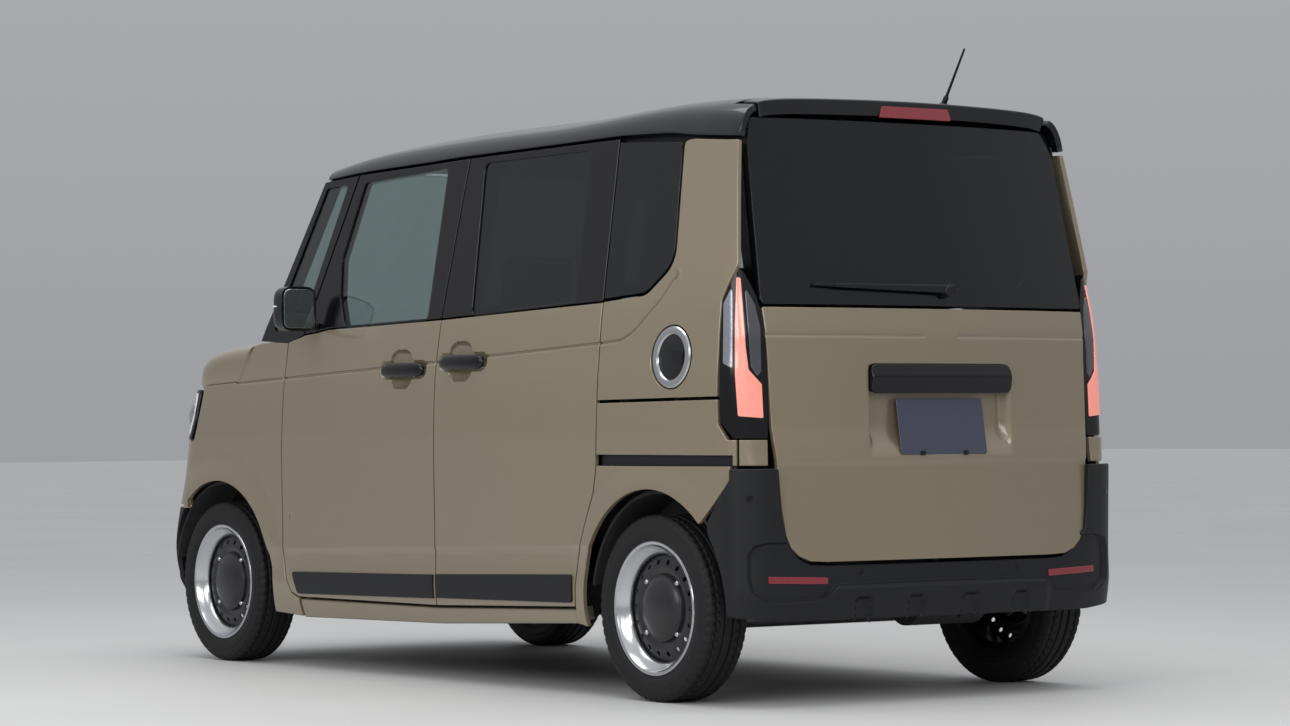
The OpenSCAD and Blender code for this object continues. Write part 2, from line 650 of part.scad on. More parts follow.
module cowl() {
    ys = steps(45.5 - half_w, half_w - 45.5, 10);
    function edge_x(y, k) = k == 0 ? front_x - 300 : bonnet_rear(y) - gap;
    function top_z(y, k) = 1082 - 27 * k - (60 - 27 * k) * pow(y / 700, 4);
    color(black) difference() {
        sheet(
            [for (y = ys) [for (k = [0, 1]) [edge_x(y, k), y, top_z(y, k)]]],
            [for (y = ys) [for (k = [0, 1]) [edge_x(y, k), y, top_z(y, k) - 22]]]);
        both() box(front_x - 301, front_x, lift_y - 38, lift_y + 38, 1000, 1100);
    }
}
function bonnet_rear(y) = front_x - 110 - 62 * pow(y / 700, 2);
module aerial() {
    base = [rear_x - 130, -285, roof_z(rear_x - 130, 285)];
    lean = [-0.52, 0, 0.854];
    color(black) union() {
        difference() {
            translate(base - [0, 0, 6]) cylinder(r = 15, h = 20);
            roof_shell(0, 2, [-0.7, -0.5, -0.25, 0]);
        }
        bar(base + [0, 0, 6], base + lean * 36, 9);
        bar(base + [0, 0, 8], base + lean * aerial_l, 4);
    }
}
module seat(x, y, w, back) {
    translate([0, y, 0]) rotate([90, 0, 0]) translate([0, 0, -w / 2]) linear_extrude(w)
        rounded(30) polygon([
            [x - 250, floor_z + 60], [x + 250, floor_z + 90], [x + 270, floor_z + 290], [x + 60, floor_z + 285],
            [x - 140, floor_z + 255], [x - 230, floor_z + back], [x - 330, floor_z + back],
            [x - 300, floor_z + 300]]);
}
module headrest(x, y, z) {
    translate([x, y - 130, z]) rotate([90, 0, 0]) mirror([0, 0, 1]) linear_extrude(260)
        rounded(30) polygon([[-45, 0], [45, 0], [30, 170], [-50, 170]]);
}
module front_seats() {
    w = inner_y - 100;
    color([0.25, 0.22, 0.2]) for (y = [-inner_y / 2, inner_y / 2]) {
        union() {
            seat(front_x - 1030, y, w, 900);
            headrest(front_x - 1310, y, floor_z + 860);
            box(front_x - 1240, front_x - 840, y - w / 2 + 50, y + w / 2 - 50, floor_z, floor_z + 90);
        }
    }
}
module rear_seat() {
    color([0.25, 0.22, 0.2]) union() {
        seat(rear_x + 400, 0, 2 * house_y - 20, 830);
        for (y = [-inner_y / 2, inner_y / 2]) headrest(rear_x + 118, y, floor_z + 790);
        box(rear_x + 270, rear_x + 560, 40 - house_y, house_y - 40, floor_z, floor_z + 80);
    }
}
module dashboard() {
    color(trim) union() {
        rotate([90, 0, 0]) translate([0, 0, 10 - inner_y]) linear_extrude(2 * inner_y - 20) rounded(25) polygon([
            [front_x - 330, 760], [front_x - 560, 800], [front_x - 620, 900], [front_x - 600, 1000],
            [front_x - 480, 1040], [front_x - 330, 1030]]);
        translate(column_end) rotate([0, 180 - column_a, 0]) translate([0, 0, 1]) cylinder(r = 24, h = 130);
        translate(column_end) rotate([0, -column_a, 0]) translate([0, 0, -20]) cylinder(r = 12, h = 42, $fn = 32);
    }
}
module steering_wheel() {
    color(black) translate(column_end) rotate([0, -column_a, 0]) difference() {
        union() {
            translate([0, 0, 44]) rotate_extrude($fn = 64) translate([175, 0]) circle(r = 13, $fn = 24);
            cylinder(r = 44, h = 40);
            for (a = [30, 150, 270]) {
                translate([0, 0, 24]) rotate([0, 83.5, a]) cylinder(r = 9, h = 172, $fn = 24);
            }
        }
        translate([0, 0, -1]) cylinder(r = 12.3, h = 26);
    }
}
module engine() {
    color(steel) union() {
        box(front_x - 160, front_x + 180, -300, 300, 270, 820);
        box(front_x + 190, front_x + 250, -320, 320, 270, 640);
        box(front_x + 170, front_x + 200, -200, 200, 300, 500);
        box(front_x - 40, front_x + 40, -330, 330, 430, 490);
    }
}
kpi = 14;
ball_y = wheel_y - 42.5;
ball_z = 190;
function strut_at(z) = [front_x, ball_y - (z - ball_z) * tan(kpi), z];
module front_suspension() {
    color(steel) union() {
        box(front_x - 200, front_x + 160, -330, 330, 180, 270);
        both() {
            bar([front_x - 120, 320, 205], [front_x, ball_y - 50, 175], 16);
            bar([front_x + 100, 320, 205], [front_x, ball_y - 50, 175], 16);
            bar([front_x, ball_y - 70, 175], [front_x, ball_y, 175], 16);
            translate([front_x, ball_y + 15 * tan(kpi), 175]) rotate([kpi, 0, 0]) cylinder(r = 12, h = 48, $fn = 32);
            bar(strut_at(424), strut_at(700), 20);
            bar(strut_at(690), strut_at(860), 42);
            box(front_x - 60, front_x + 60, 335, 470, 850, 880);
            box(front_x - 60, front_x + 60, 335, 385, 500, 860);
            box(front_x - 60, front_x + 60, 300, 385, 270, 420);
        }
    }
}
module knuckle() {
    color(steel) difference() {
        union() {
            translate([front_x, ball_y - 55, hub_z]) rotate([-90, 0, 0]) cylinder(r = 46, h = 60);
            translate([front_x, ball_y - 10, hub_z]) rotate([-90, 0, 0]) cylinder(r = 22, h = 92);
            translate(strut_at(216)) rotate([kpi, 0, 0]) cylinder(r = 28, h = 130);
            translate(strut_at(310)) rotate([kpi, 0, 0]) cylinder(r = 30, h = 128);
        }
        translate(strut_at(160)) rotate([kpi, 0, 0]) cylinder(r = 12.3, h = 70, $fn = 32);
        translate(strut_at(415)) rotate([kpi, 0, 0]) cylinder(r = 20.3, h = 100, $fn = 32);
    }
}
module knuckle_left() {
    knuckle();
}
module knuckle_right() {
    mirror([0, 1, 0]) knuckle();
}
module rear_axle() {
    color(steel) union() {
        translate([rear_x + 150, -520, 225]) rotate([-90, 0, 0]) cylinder(r = 30, h = 1040);
        both() {
            bar([rear_x + 420, 500, 254], [rear_x, 510, hub_z], 26);
            translate([rear_x + 420, 440, 254]) rotate([-90, 0, 0]) cylinder(r = 36, h = 120);
            translate([rear_x, 480, hub_z]) rotate([-90, 0, 0]) cylinder(r = 29, h = 110);
            translate([rear_x, house_y, hub_z]) rotate([-90, 0, 0]) cylinder(r = 22, h = 152);
            translate([rear_x - 20, 460, 280]) cylinder(r = 40, h = 150);
            box(rear_x - 70, rear_x + 28, 420, 500, 250, 290);
        }
    }
}
module exhaust() {
    color(steel) union() {
        bar([front_x - 200, -150, 230], [rear_x + 410, -150, 230], 22);
        bar([rear_x + 430, -150, 230], [rear_x + 190, -200, 280], 20);
        bar([rear_x + 210, -197, 280], [rear_x - 150, -230, 280], 18);
        translate([rear_x - 180, -345, 280]) rotate([-90, 0, 0]) cylinder(r = 78, h = 265);
        bar([rear_x - 200, -310, 275], [rear_x - 390, -330, 262], 20);
        translate([rear_x - 180, -200, 330]) cylinder(r = 12, h = 100);
        translate([mid_x, -150, 235]) cylinder(r = 12, h = floor_z - 40 - 235);
    }
}
module fuel_tank() {
    color(black) translate([front_x - 1230, -80, 180]) cube([480, inner_y - 40, floor_z - 40 - 180]);
}

module door_body() {
    difference() {
        intersection() {
            wall_section(mid_x - 250, front_x - 400);
            side_cut() front_door_2d();
        }
        side_cut() front_window_2d();
        handle_bowl(mid_x + 85, 990);
        for (z = hinge_z) {
            box(hinge_x - 14, front_x - 400, inner_y, hinge_y + 9, z - 25, z + 25);
            translate([hinge_x, hinge_y, z - 54]) cylinder(r = 5.2, h = 108, $fn = 32);
        }
    }
}
module door_trim() {
    handle_bar(mid_x + 85, 990);
    cladding(mid_x - 92, front_x - 482, 262, 334);
}
module door_glass() {
    intersection() {
        wall_section(mid_x - 250, front_x - 400, 6, glass_t);
        side_cut() front_window_2d();
    }
}
module mirror_body() {
    intersection() {
        translate([front_x - 655, half_w + 92, 1198]) rotate([0, 90, 0]) difference() {
            linear_extrude(78) rounded(40) square([150, 136], center = true);
            translate([0, 0, -1]) linear_extrude(7) rounded(32) square([130, 116], center = true);
        }
        linear_extrude(1400) translate([front_x, half_w]) polygon([
            [-655, 24], [-605, 24], [-577, 48], [-577, 112], [-590, 140], [-625, 160], [-655, 160]]);
    }
    translate([front_x - 640, half_w - 18.6, 1130]) cube([50, 60, 24]);
}
module front_door_left() {
    color(paint) door_body();
}
module front_door_right() {
    color(paint) mirror([0, 1, 0]) door_body();
}
module door_glass_left() {
    color(pane) door_glass();
}
module door_glass_right() {
    color(pane) mirror([0, 1, 0]) door_glass();
}
module door_trim_left() {
    color(black) door_trim();
}
module door_trim_right() {
    color(black) mirror([0, 1, 0]) door_trim();
}
module mirror_left() {
    color(black) mirror_body();
}
module mirror_right() {
    color(black) mirror([0, 1, 0]) mirror_body();
}

module tail_sheet(outer, t, low = 350, high = car_height) {
    ys = steps(77.5 - half_w, half_w - 77.5, 16);
    zs = [for (r = TAIL) if (r[0] > low && r[0] <= high) r[0]];
    sheet(
        [for (y = ys) [for (z = zs) [tail_x(y, z) + outer, y, z]]],
        [for (y = ys) [for (z = zs) [tail_x(y, z) + outer + t, y, z]]]);
}
module tailgate() {
    color(paint) difference() {
        intersection() {
            tail_sheet(0, 52);
            end_cut(tail_end - 20, rear_x) tailgate_2d();
        }
        end_cut(tail_end - 20, rear_x) rear_glass_2d();
        end_cut(tail_end - 20, tail_end + 34) translate([-275, 728]) rounded(30) square([550, 262]);
        intersection() {
            tail_sheet(-5, 8, 720, 1071);
            both() end_cut(tail_end - 20, rear_x) translate([70, 1062]) square([half_w, 8]);
        }
        spoiler_body();
        both() gate_pocket();
    }
}
module tailgate_glass() {
    color(pane) difference() {
        intersection() {
            tail_sheet(4, glass_t + 3, 1071);
            end_cut(tail_end - 20, rear_x) rear_glass_2d();
        }
        spoiler_body();
    }
}
module handle_garnish() {
    ys = steps(-300, 300, 8);
    // Height, stand-out from the tailgate
    profile = [[890, 2], [948, 7], [990, 1]];
    color(black) intersection() {
        sheet(
            [for (y = ys) [for (r = profile) [tail_x(y, r[0]) - r[1], y, r[0]]]],
            [for (y = ys) [for (r = profile) [tail_x(y, r[0]) + 56, y, r[0]]]]);
        end_cut(tail_end - 60, tail_end + 34) translate([-270, 897]) rounded(24) square([540, 88]);
    }
}
module plate() {
    color(steel) union() {
        translate([tail_end, -165, 720]) rotate([0, 9, 0]) cube([4, 330, 165]);
        for (y = [-105, 105]) {
            translate([tail_end + 19, y, 850]) rotate([0, 90, 0]) cylinder(r = 9, h = 15);
        }
    }
}
module rear_wiper() {
    x = tail_x(0, 1200) - 18;
    color(black) union() {
        translate([x, -30, 1200]) rotate([0, 90, 0]) cylinder(r = 16, h = 19);
        bar([x, -30, 1204], [x + 26, 440, 1212], 8);
    }
}
module spoiler_body() {
    xs = steps(tail_end + 40, roof_end - roof_gap + roof_bow, 6);
    ss = steps(-0.92, 0.92, 12);
    ys = steps(167.5 - half_w, half_w - 167.5, 12);
    rear_edge = [for (y = ys) [tail_x(y, up(1720)) - 20, y]];
    front_edge = [for (y = flip(ys)) [roof_end - roof_gap + roof_bow * pow(y / 630, 2), y]];
    intersection() {
        sheet(
            [for (s = ss) [for (x = xs) roof_point(x, s)]],
            [for (s = ss) [for (x = xs) roof_point(x, s) - [0, 0, 34]]]);
        linear_extrude(2200) polygon(concat(rear_edge, front_edge));
    }
}
module spoiler() {
    color(black) difference() {
        spoiler_body();
        both() {
            gate_pocket();
            translate([gate_x, gate_y - 28, gate_z]) rotate([-90, 0, 0]) cylinder(r = 4.2, h = 56, $fn = 32);
        }
    }
}
module bonnet() {
    us = [0, 0.12, 0.28, 0.45, 0.6, 0.72, 0.82, 0.9, 0.95, 0.985];
    vs = [-1, -0.985, -0.94, -0.85, -0.7, -0.45, 0, 0.45, 0.7, 0.85, 0.94, 0.985, 1];
    end = nose_x - nose(955, 2) - 4;
    function z_low(u) = 972 - 22 * u;
    function z_mid(u) = z_low(u) + (1088 - z_low(u)) * pow(1 - pow(u, 3), 0.5);
    function bx(u, v) = let (x0 = bonnet_rear(v * 700)) x0 + (end - x0) * u;
    function by(u, v) = v * (side_y(bx(u, 0), 955) - 1);
    function bz(u, v) = z_low(u) + (z_mid(u) - z_low(u)) * pow(1 - pow(abs(v), 3.5), 1 / 3.5);
    color(paint) difference() {
        union() {
            sheet(
                [for (v = vs) [for (u = us) [bx(u, v), by(u, v), bz(u, v)]]],
                [for (v = vs) [for (u = us)
                    [bx(u, v) - 20 * u, by(u, v) * 0.965, max(z_low(u) - 4, bz(u, v) - 24)]]]);
            both() for (y = [lift_y - 30, lift_y + 18]) lift_lug(y);
        }
        both() {
            side_cut(half_w - 97.5) polygon(concat(
                [for (p = E_SEAM) [p.x + gap / 2, p.y]], [[front_x - 300, 1110], [front_x - 300, 950]]));
            translate([lift_x, lift_y - 50, lift_z]) rotate([-90, 0, 0]) cylinder(r = 5.2, h = 100, $fn = 32);
        }
    }
}
// Hinge lug under the bonnet's rear edge
module lift_lug(y) {
    side_cut(y, y + 12) polygon([
        [lift_x - 11, lift_z - 11], [lift_x + 40, lift_z - 28], [lift_x + 150, lift_z - 34],
        [lift_x + 150, lift_z - 14], [lift_x + 76, lift_z - 16], [lift_x + 40, lift_z - 6], [lift_x + 11, lift_z + 11],
        [lift_x - 11, lift_z + 11]]);
}
// Frame of the fuel lid: middle of its outer face, leaning with the wall
module at_lid() {
    translate([lid_x, lid_out, lid_z]) rotate([lid_tilt, 0, 0]) children();
}
module fuel_lid() {
    color(black) at_lid() difference() {
        rotate([90, 0, 0]) cylinder(r = lid_r, h = lid_t);
        translate([0, 1, 0]) rotate([90, 0, 0]) cylinder(r = lid_r - lid_ring, h = 5);
        translate([lid_hinge_x, lid_hinge_y, -80]) cylinder(r = 2.7, h = 160, $fn = 32);
    }
}

// Tyre outline: radius, half width
module tyre(x, y) {
    half = tyre_w / 2;
    color(black) translate([x, y, hub_z]) rotate([90, 0, 0]) rotate_extrude($fn = 96) polygon(concat(
        [[rim_r - 14, -half + 22], [rim_r + 6, -half + 8], [rim_r + 30, -half]],
        [for (a = [0:15:90]) [tyre_r - 24 + 24 * sin(a), -half + 26 - 24 * cos(a)]],
        [for (a = [90:-15:0]) [tyre_r - 24 + 24 * sin(a), half - 26 + 24 * cos(a)]],
        [[rim_r + 30, half], [rim_r + 6, half - 8], [rim_r - 14, half - 22]]));
}
// Wheel: barrel, disc with holes and a domed cap, outer face towards +Y
module wheel(x, y) {
    half = tyre_w / 2;
    color(steel) translate([x, y, hub_z]) rotate([-90, 0, 0]) difference() {
        rotate_extrude($fn = 96) polygon([
            [22.3, -20], [60, -20], [60, 22], [120, 34], [150, 20], [rim_r - 26, 14], [rim_r - 26, -half + 4],
            [rim_r, -half + 4], [rim_r, -half + 11], [rim_r - 14, -half + 22], [rim_r - 14, half - 22],
            [rim_r, half - 11], [rim_r + 1, half - 8], [rim_r - 6, half - 6], [rim_r - 22, half - 16],
            [rim_r - 34, 40], [150, 34], [118, 46], [104, 60], [60, 66], [0, 68], [0, 40], [22.3, 40]]);
        for (a = [0:30:330]) rotate(a) translate([140, 0, 0]) cylinder(r = 9, h = 80, $fn = 24);
    }
}
module tyre_front_left() {
    tyre(front_x, wheel_y);
}
module tyre_front_right() {
    tyre(front_x, -wheel_y);
}
module tyre_rear_left() {
    tyre(rear_x, wheel_y);
}
module tyre_rear_right() {
    tyre(rear_x, -wheel_y);
}
module wheel_front_left() {
    wheel(front_x, wheel_y);
}
module wheel_front_right() {
    mirror([0, 1, 0]) wheel(front_x, wheel_y);
}
module wheel_rear_left() {
    wheel(rear_x, wheel_y);
}
module wheel_rear_right() {
    mirror([0, 1, 0]) wheel(rear_x, wheel_y);
}

floor_pan();
wheel_houses();
sills();
fenders();
pillars();
roof();
quarter_panels();
front_bumper();
nose_panel();
grille();
rear_bumper();
headlamps();
tail_lamps();
windscreen();
fixed_side_glass();
sliding_doors();
sliding_door_trim();
cowl();
aerial();
front_seats();
rear_seat();
dashboard();
engine();
front_suspension();
rear_axle();
exhaust();
fuel_tank();
steering_wheel();
front_door_left();
door_glass_left();
door_trim_left();
mirror_left();
front_door_right();
door_glass_right();
door_trim_right();
mirror_right();
tailgate();
tailgate_glass();
handle_garnish();
plate();
rear_wiper();
spoiler();
bonnet();
fuel_lid();
knuckle_left();
knuckle_right();
tyre_front_left();
wheel_front_left();
tyre_front_right();
wheel_front_right();
tyre_rear_left();
wheel_rear_left();
tyre_rear_right();
wheel_rear_right();
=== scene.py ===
"""Looks of a boxy five-door kei van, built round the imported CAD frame.

Lengths in the tables are millimetres, as in the part's source, and make() turns them into metres.
Forward is +X, left is +Y, up is +Z, and the ground is at 0.
"""

import math

import bpy
import numpy as np
from mathutils import Matrix, Vector
from mathutils.geometry import delaunay_2d_cdt


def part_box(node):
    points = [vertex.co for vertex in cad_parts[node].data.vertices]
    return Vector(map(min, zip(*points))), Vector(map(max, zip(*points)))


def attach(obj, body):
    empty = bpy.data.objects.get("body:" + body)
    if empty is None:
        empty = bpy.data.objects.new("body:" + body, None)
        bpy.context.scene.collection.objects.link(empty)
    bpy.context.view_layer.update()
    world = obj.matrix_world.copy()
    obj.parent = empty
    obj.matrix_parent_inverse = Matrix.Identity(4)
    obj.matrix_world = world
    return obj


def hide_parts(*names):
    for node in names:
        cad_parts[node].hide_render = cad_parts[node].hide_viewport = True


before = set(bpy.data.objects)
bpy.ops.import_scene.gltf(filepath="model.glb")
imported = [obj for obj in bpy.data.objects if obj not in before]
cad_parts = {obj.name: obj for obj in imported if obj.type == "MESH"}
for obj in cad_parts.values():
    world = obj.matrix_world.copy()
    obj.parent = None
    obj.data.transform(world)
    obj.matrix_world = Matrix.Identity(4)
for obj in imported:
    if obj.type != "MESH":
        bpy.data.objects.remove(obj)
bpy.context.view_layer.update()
MM = 0.001
ALONG, ACROSS, UP = (1, 0, 0), (0, 1, 0), (0, 0, 1)


def box_mm(node):
    """Lowest and highest corner of a CAD node, in millimetres."""
    return [np.array(corner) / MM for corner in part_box(node)]


# Driving dimensions, from the frame
REAR_X = sum(box_mm("tyre_rear_left"))[0] / 2
FRONT_X = sum(box_mm("tyre_front_left"))[0] / 2
MID_X = (REAR_X + FRONT_X) / 2
HUB_Z = sum(box_mm("tyre_rear_left"))[2] / 2
TYRE_R = HUB_Z
WHEEL_Y = sum(box_mm("tyre_rear_left"))[1] / 2
HALF_W = box_mm("front_door_left")[1][1]
NOSE_X = box_mm("front_bumper")[1][0]
TAIL_X = box_mm("rear_bumper")[0][0]
ARCH_R = 345
GAP = 6
ROOF_END = REAR_X - 258
ROOF_BOW = 60

# Curves and surfaces


def curve(rows, blur=0, col=1):
    """Value at a place, through (place, value) rows, softened over blur millimetres."""
    table = np.array(rows, float)
    grid = np.arange(table[0, 0] - 4 * blur - 2, table[-1, 0] + 4 * blur + 3, 1.0)
    values = np.interp(grid, table[:, 0], table[:, col])
    if blur:
        reach = np.arange(-3 * blur, 3 * blur + 1)
        weights = np.exp(-0.5 * (reach / blur) ** 2)
        padded = np.pad(values, 3 * blur, mode="edge")
        values = np.convolve(padded, weights / weights.sum(), mode="valid")
    return lambda at: np.interp(at, grid, values)


# Side wall: height, inset from half the width
SIDE = [(170, 34), (190, 24), (225, 14), (270, 8), (345, 4), (430, 5), (520, 4), (640, 1.5), (800, 0),
    (900, 1.5), (960, 4), (1010, 9), (1080, 14), (1150, 21), (1250, 37), (1400, 62), (1550, 87),
    (1660, 105), (1700, 113)]
# Tuck behind the rear axle: distance behind it, inset
REAR_TUCK = [(100, 0), (150, 0), (260, 4), (310, 9), (355, 20), (390, 38), (430, 70), (465, 110),
    (480, 130)]
# Nose in plan: height, corner's start behind the front end, set-back of the middle, squareness
NOSE = [(180, 215, 26, 4), (300, 197, 3, 5), (420, 197, 0, 5), (520, 237, 8, 4.5), (622, 277, 30, 4),
    (832, 347, 62, 4), (955, 407, 108, 4), (1010, 447, 138, 4)]
# Tail at the middle: height, set-back from the rear end, bow over 620 mm
TAIL = [(240, 14, 22), (330, 0, 22), (413, 3, 24), (690, 3, 40), (720, 6, 42), (1000, 8, 56),
    (1071, 10, 57), (1152, 24, 57), (1420, 80, 60), (1676, 132, 62), (1730, 144, 62), (1790, 160, 62)]
# Roof crown and rail: place forward of the middle of the wheelbase, height
CROWN = [(-2000, 1700), (-1640, 1760), (-1520, 1775), (-1130, 1788), (-730, 1790), (-230, 1790),
    (70, 1787), (320, 1775), (530, 1754), (670, 1726), (760, 1695), (1060, 1585)]
RAIL = [(-1570, 1632), (-1330, 1650), (-1245, 1663), (-980, 1671), (-110, 1659), (65, 1653), (460, 1644),
    (710, 1630)]
# Roof section: share of the half width, share of the drop from crown to rail
ARCH = [(0, 0), (0.25, 0.035), (0.5, 0.14), (0.7, 0.28), (0.79, 0.38), (0.88, 0.48), (0.95, 0.6),
    (0.985, 0.78), (1, 1)]

side_inset = curve(SIDE, 16)
rear_tuck = curve(REAR_TUCK, 10)
nose_start, nose_set, nose_square = (curve(NOSE, 24, col) for col in (1, 2, 3))
tail_set, tail_bow = curve(TAIL, 10, 1), curve(TAIL, 16, 2)
crown_at, rail_at = curve(CROWN, 100), curve(RAIL, 40)


def crown_z(x):
    return crown_at(x - MID_X)


def rail_z(x):
    return rail_at(x - MID_X)


def side_y(x, z):
    """Half width of the body at a place along it and a height."""
    start, end, n = NOSE_X - nose_start(z), NOSE_X - nose_set(z), nose_square(z)
    u = np.clip((x - start) / (end - start), 0, 0.9999)
    return (HALF_W - side_inset(z)) * (1 - u**n) ** (1 / n) - rear_tuck(REAR_X - x)


def tail_x(y, z):
    return TAIL_X + tail_set(z) + tail_bow(z) * (y / 620) ** 2


def to_path(path, u, v):
    """Distance of points from a run of straight stretches."""
    best = np.full(np.shape(u), 1e9)
    for (ax, ay), (bx, by) in zip(path, path[1:]):
        dx, dy = bx - ax, by - ay
        t = np.clip(((u - ax) * dx + (v - ay) * dy) / (dx * dx + dy * dy), 0, 1)
        best = np.minimum(best, np.hypot(u - ax - t * dx, v - ay - t * dy))
    return best


def in_round_box(u, v, wide, high, radius):
    """Signed distance from a rounded rectangle about the origin, negative inside."""
    a, b = np.abs(u) - wide / 2 + radius, np.abs(v) - high / 2 + radius
    return np.hypot(np.maximum(a, 0), np.maximum(b, 0)) + np.minimum(np.maximum(a, b), 0) - radius


def ease(t):
    t = np.clip(t, 0, 1)
    return t * t * (3 - 2 * t)


# Pressed line along the side (along, up), and the handles in it
SIDE_LINE = [(1180, 957), (840, 972), (-95, 1012), (-986, 1055), (-1075, 1061), (-1115, 1075),
    (-1151, 1094), (-1262, 1178), (-1325, 1250)]
HANDLES = {"front": (MID_X + 85, 990), "sliding": (MID_X - 260, 1010)}
BOWL_DEPTH, BOWL_ROUND = 24, 46
BOWL_LOBES = ((12, 140, 128, 52), (0, 275, 58, 28))
LINE_DEEP, LINE_HALF = 9, 3.6
# Lower crease along the doors
LOW_CREASE = [(900, 400), (-900, 455)]
CREASE_IN = 4
FLARE_OUT, FLARE_REACH, FLARE_LOW = 11, 105, 330


def handle_bowl(x, z):
    """Depth of the hand recesses: an upright and a level lobe each, as (ahead, wide, high, radius)."""
    depth = np.zeros(np.shape(x))
    for hx, hz in HANDLES.values():
        edge = np.minimum(*(in_round_box(x - hx - ahead, z - hz, *lobe) for ahead, *lobe in BOWL_LOBES))
        sunk = np.clip(-edge / BOWL_ROUND, 0, 1)
        depth = np.maximum(depth, BOWL_DEPTH * np.sqrt(1 - (1 - sunk) ** 2))
    return depth


def skin_y(x, z):
    """Half width with the pressed line, crease, flares and hand recesses."""
    y = side_y(x, z)
    bowl = handle_bowl(x, z)
    line = LINE_DEEP * np.exp(-((to_path(SIDE_LINE, x, z) / LINE_HALF) ** 2)) * (bowl < 0.5)
    crease_z = np.interp(x, *zip(*LOW_CREASE[::-1]))
    tuck = CREASE_IN * ease((crease_z - z) / 26) * (1 - ease((crease_z - 60 - z) / 60))
    flare = 0
    for axle in (FRONT_X, REAR_X):
        r = np.hypot(x - axle, z - HUB_Z)
        near = ease((ARCH_R + FLARE_REACH - r) / FLARE_REACH)
        flare = flare + FLARE_OUT * near * ease((z - FLARE_LOW) / 120)
    return y - line - tuck - bowl + flare


def side_skin(x, z):
    return np.stack([x, skin_y(x, z), z], -1)


def side_plain(out=0.0):
    return lambda x, z: np.stack([x, side_y(x, z) + out, z], -1)


def tail_plain(out=0.0):
    return lambda y, z: np.stack([tail_x(y, z) - out, y, z], -1)


# Outlines


def rounded(points, radius):
    """Closed outline with its corners rounded; a point may carry its own radius."""
    out = []
    count = len(points)
    for i, corner in enumerate(points):
        here = np.array(corner[:2], float)
        r = corner[2] if len(corner) > 2 else radius
        to_a = np.array(points[i - 1][:2], float) - here
        to_b = np.array(points[(i + 1) % count][:2], float) - here
        la, lb = np.hypot(*to_a), np.hypot(*to_b)
        to_a, to_b = to_a / la, to_b / lb
        half = math.acos(np.clip(to_a @ to_b, -1, 1)) / 2
        if r < 0.5 or half > 1.5:
            out.append(here)
            continue
        back = min(r / math.tan(half), 0.48 * min(la, lb))
        a, b = here + to_a * back, here + to_b * back
        for t in np.linspace(0, 1, 7):
            out.append((1 - t) ** 2 * a + 2 * t * (1 - t) * here + t * t * b)
    return np.array(out)


def resampled(loop, step):
    """Points of a closed outline, at most step apart."""
    out = []
    for a, b in zip(loop, np.roll(loop, -1, 0)):
        n = max(1, math.ceil(np.hypot(*(b - a)) / step))
        out += [a + (b - a) * k / n for k in range(n)]
    return np.array(out)


def circle(radius, n=96, at=(0, 0)):
    angles = np.linspace(0, 2 * math.pi, n, False)
    return [(at[0] + radius * math.cos(a), at[1] + radius * math.sin(a)) for a in angles]


def block(u0, u1, v0, v1, radius):
    """Rectangle with rounded corners."""
    return rounded([(u0, v0), (u1, v0), (u1, v1), (u0, v1)], radius)


def whole(half):
    """Outline from its left half."""
    return [tuple(p) for p in half] + [(-p[0],) + tuple(p[1:]) for p in half[::-1] if p[0] > 0]


def anticlockwise(loop):
    area = np.sum(loop[:, 0] * np.roll(loop[:, 1], -1) - np.roll(loop[:, 0], -1) * loop[:, 1])
    return loop if area > 0 else loop[::-1]


def moved_in(loop, by):
    """Anticlockwise outline moved inwards."""
    along = np.roll(loop, -1, 0) - loop
    along /= np.maximum(np.hypot(along[:, 0], along[:, 1]), 1e-6)[:, None]
    normal = np.stack([-along[:, 1], along[:, 0]], -1)
    both = normal + np.roll(normal, 1, 0)
    both /= np.maximum(np.hypot(both[:, 0], both[:, 1]), 1e-6)[:, None]
    lean = np.maximum(np.sum(both * normal, -1), 0.5)
    return loop + both * (by / lean)[:, None]


def inside(loop, u, v):
    """Which points lie inside a closed outline."""
    hit = np.zeros(np.shape(u), bool)
    for (ax, ay), (bx, by) in zip(loop, np.roll(loop, -1, 0)):
        if ay == by:
            continue
        hit ^= ((ay > v) != (by > v)) & (u < (bx - ax) * (v - ay) / (by - ay) + ax)
    return hit


def within(loops, points):
    """Which points lie inside the first outline and outside the others."""
    u, v = points.T
    hit = inside(loops[0], u, v)
    for hole in loops[1:]:
        hit &= ~inside(hole, u, v)
    return hit


# Meshes


def make(name, verts, faces, finish, body, replaces=(), normals=None, sharp=35):
    """One piece: a mesh in millimetres, its finish, and the body it rides on."""
    mesh = bpy.data.meshes.new(name)
    mesh.from_pydata((np.asarray(verts, float) * MM).tolist(), [], [list(map(int, f)) for f in faces])
    mesh.validate()
    mesh.polygons.foreach_set("use_smooth", [True] * len(mesh.polygons))
    if normals is not None:
        mesh.normals_split_custom_set_from_vertices(np.asarray(normals, float).tolist())
    else:
        mesh.set_sharp_from_angle(angle=math.radians(sharp))
    piece = bpy.data.objects.new(name, mesh)
    bpy.context.collection.objects.link(piece)
    mesh.materials.append(FINISH[finish])
    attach(piece, body)
    if replaces:
        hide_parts(*replaces)
    return piece


def mirrored(verts, faces, normals):
    flip = np.array([1, -1, 1])
    return verts * flip, [f[::-1] for f in faces], normals * flip


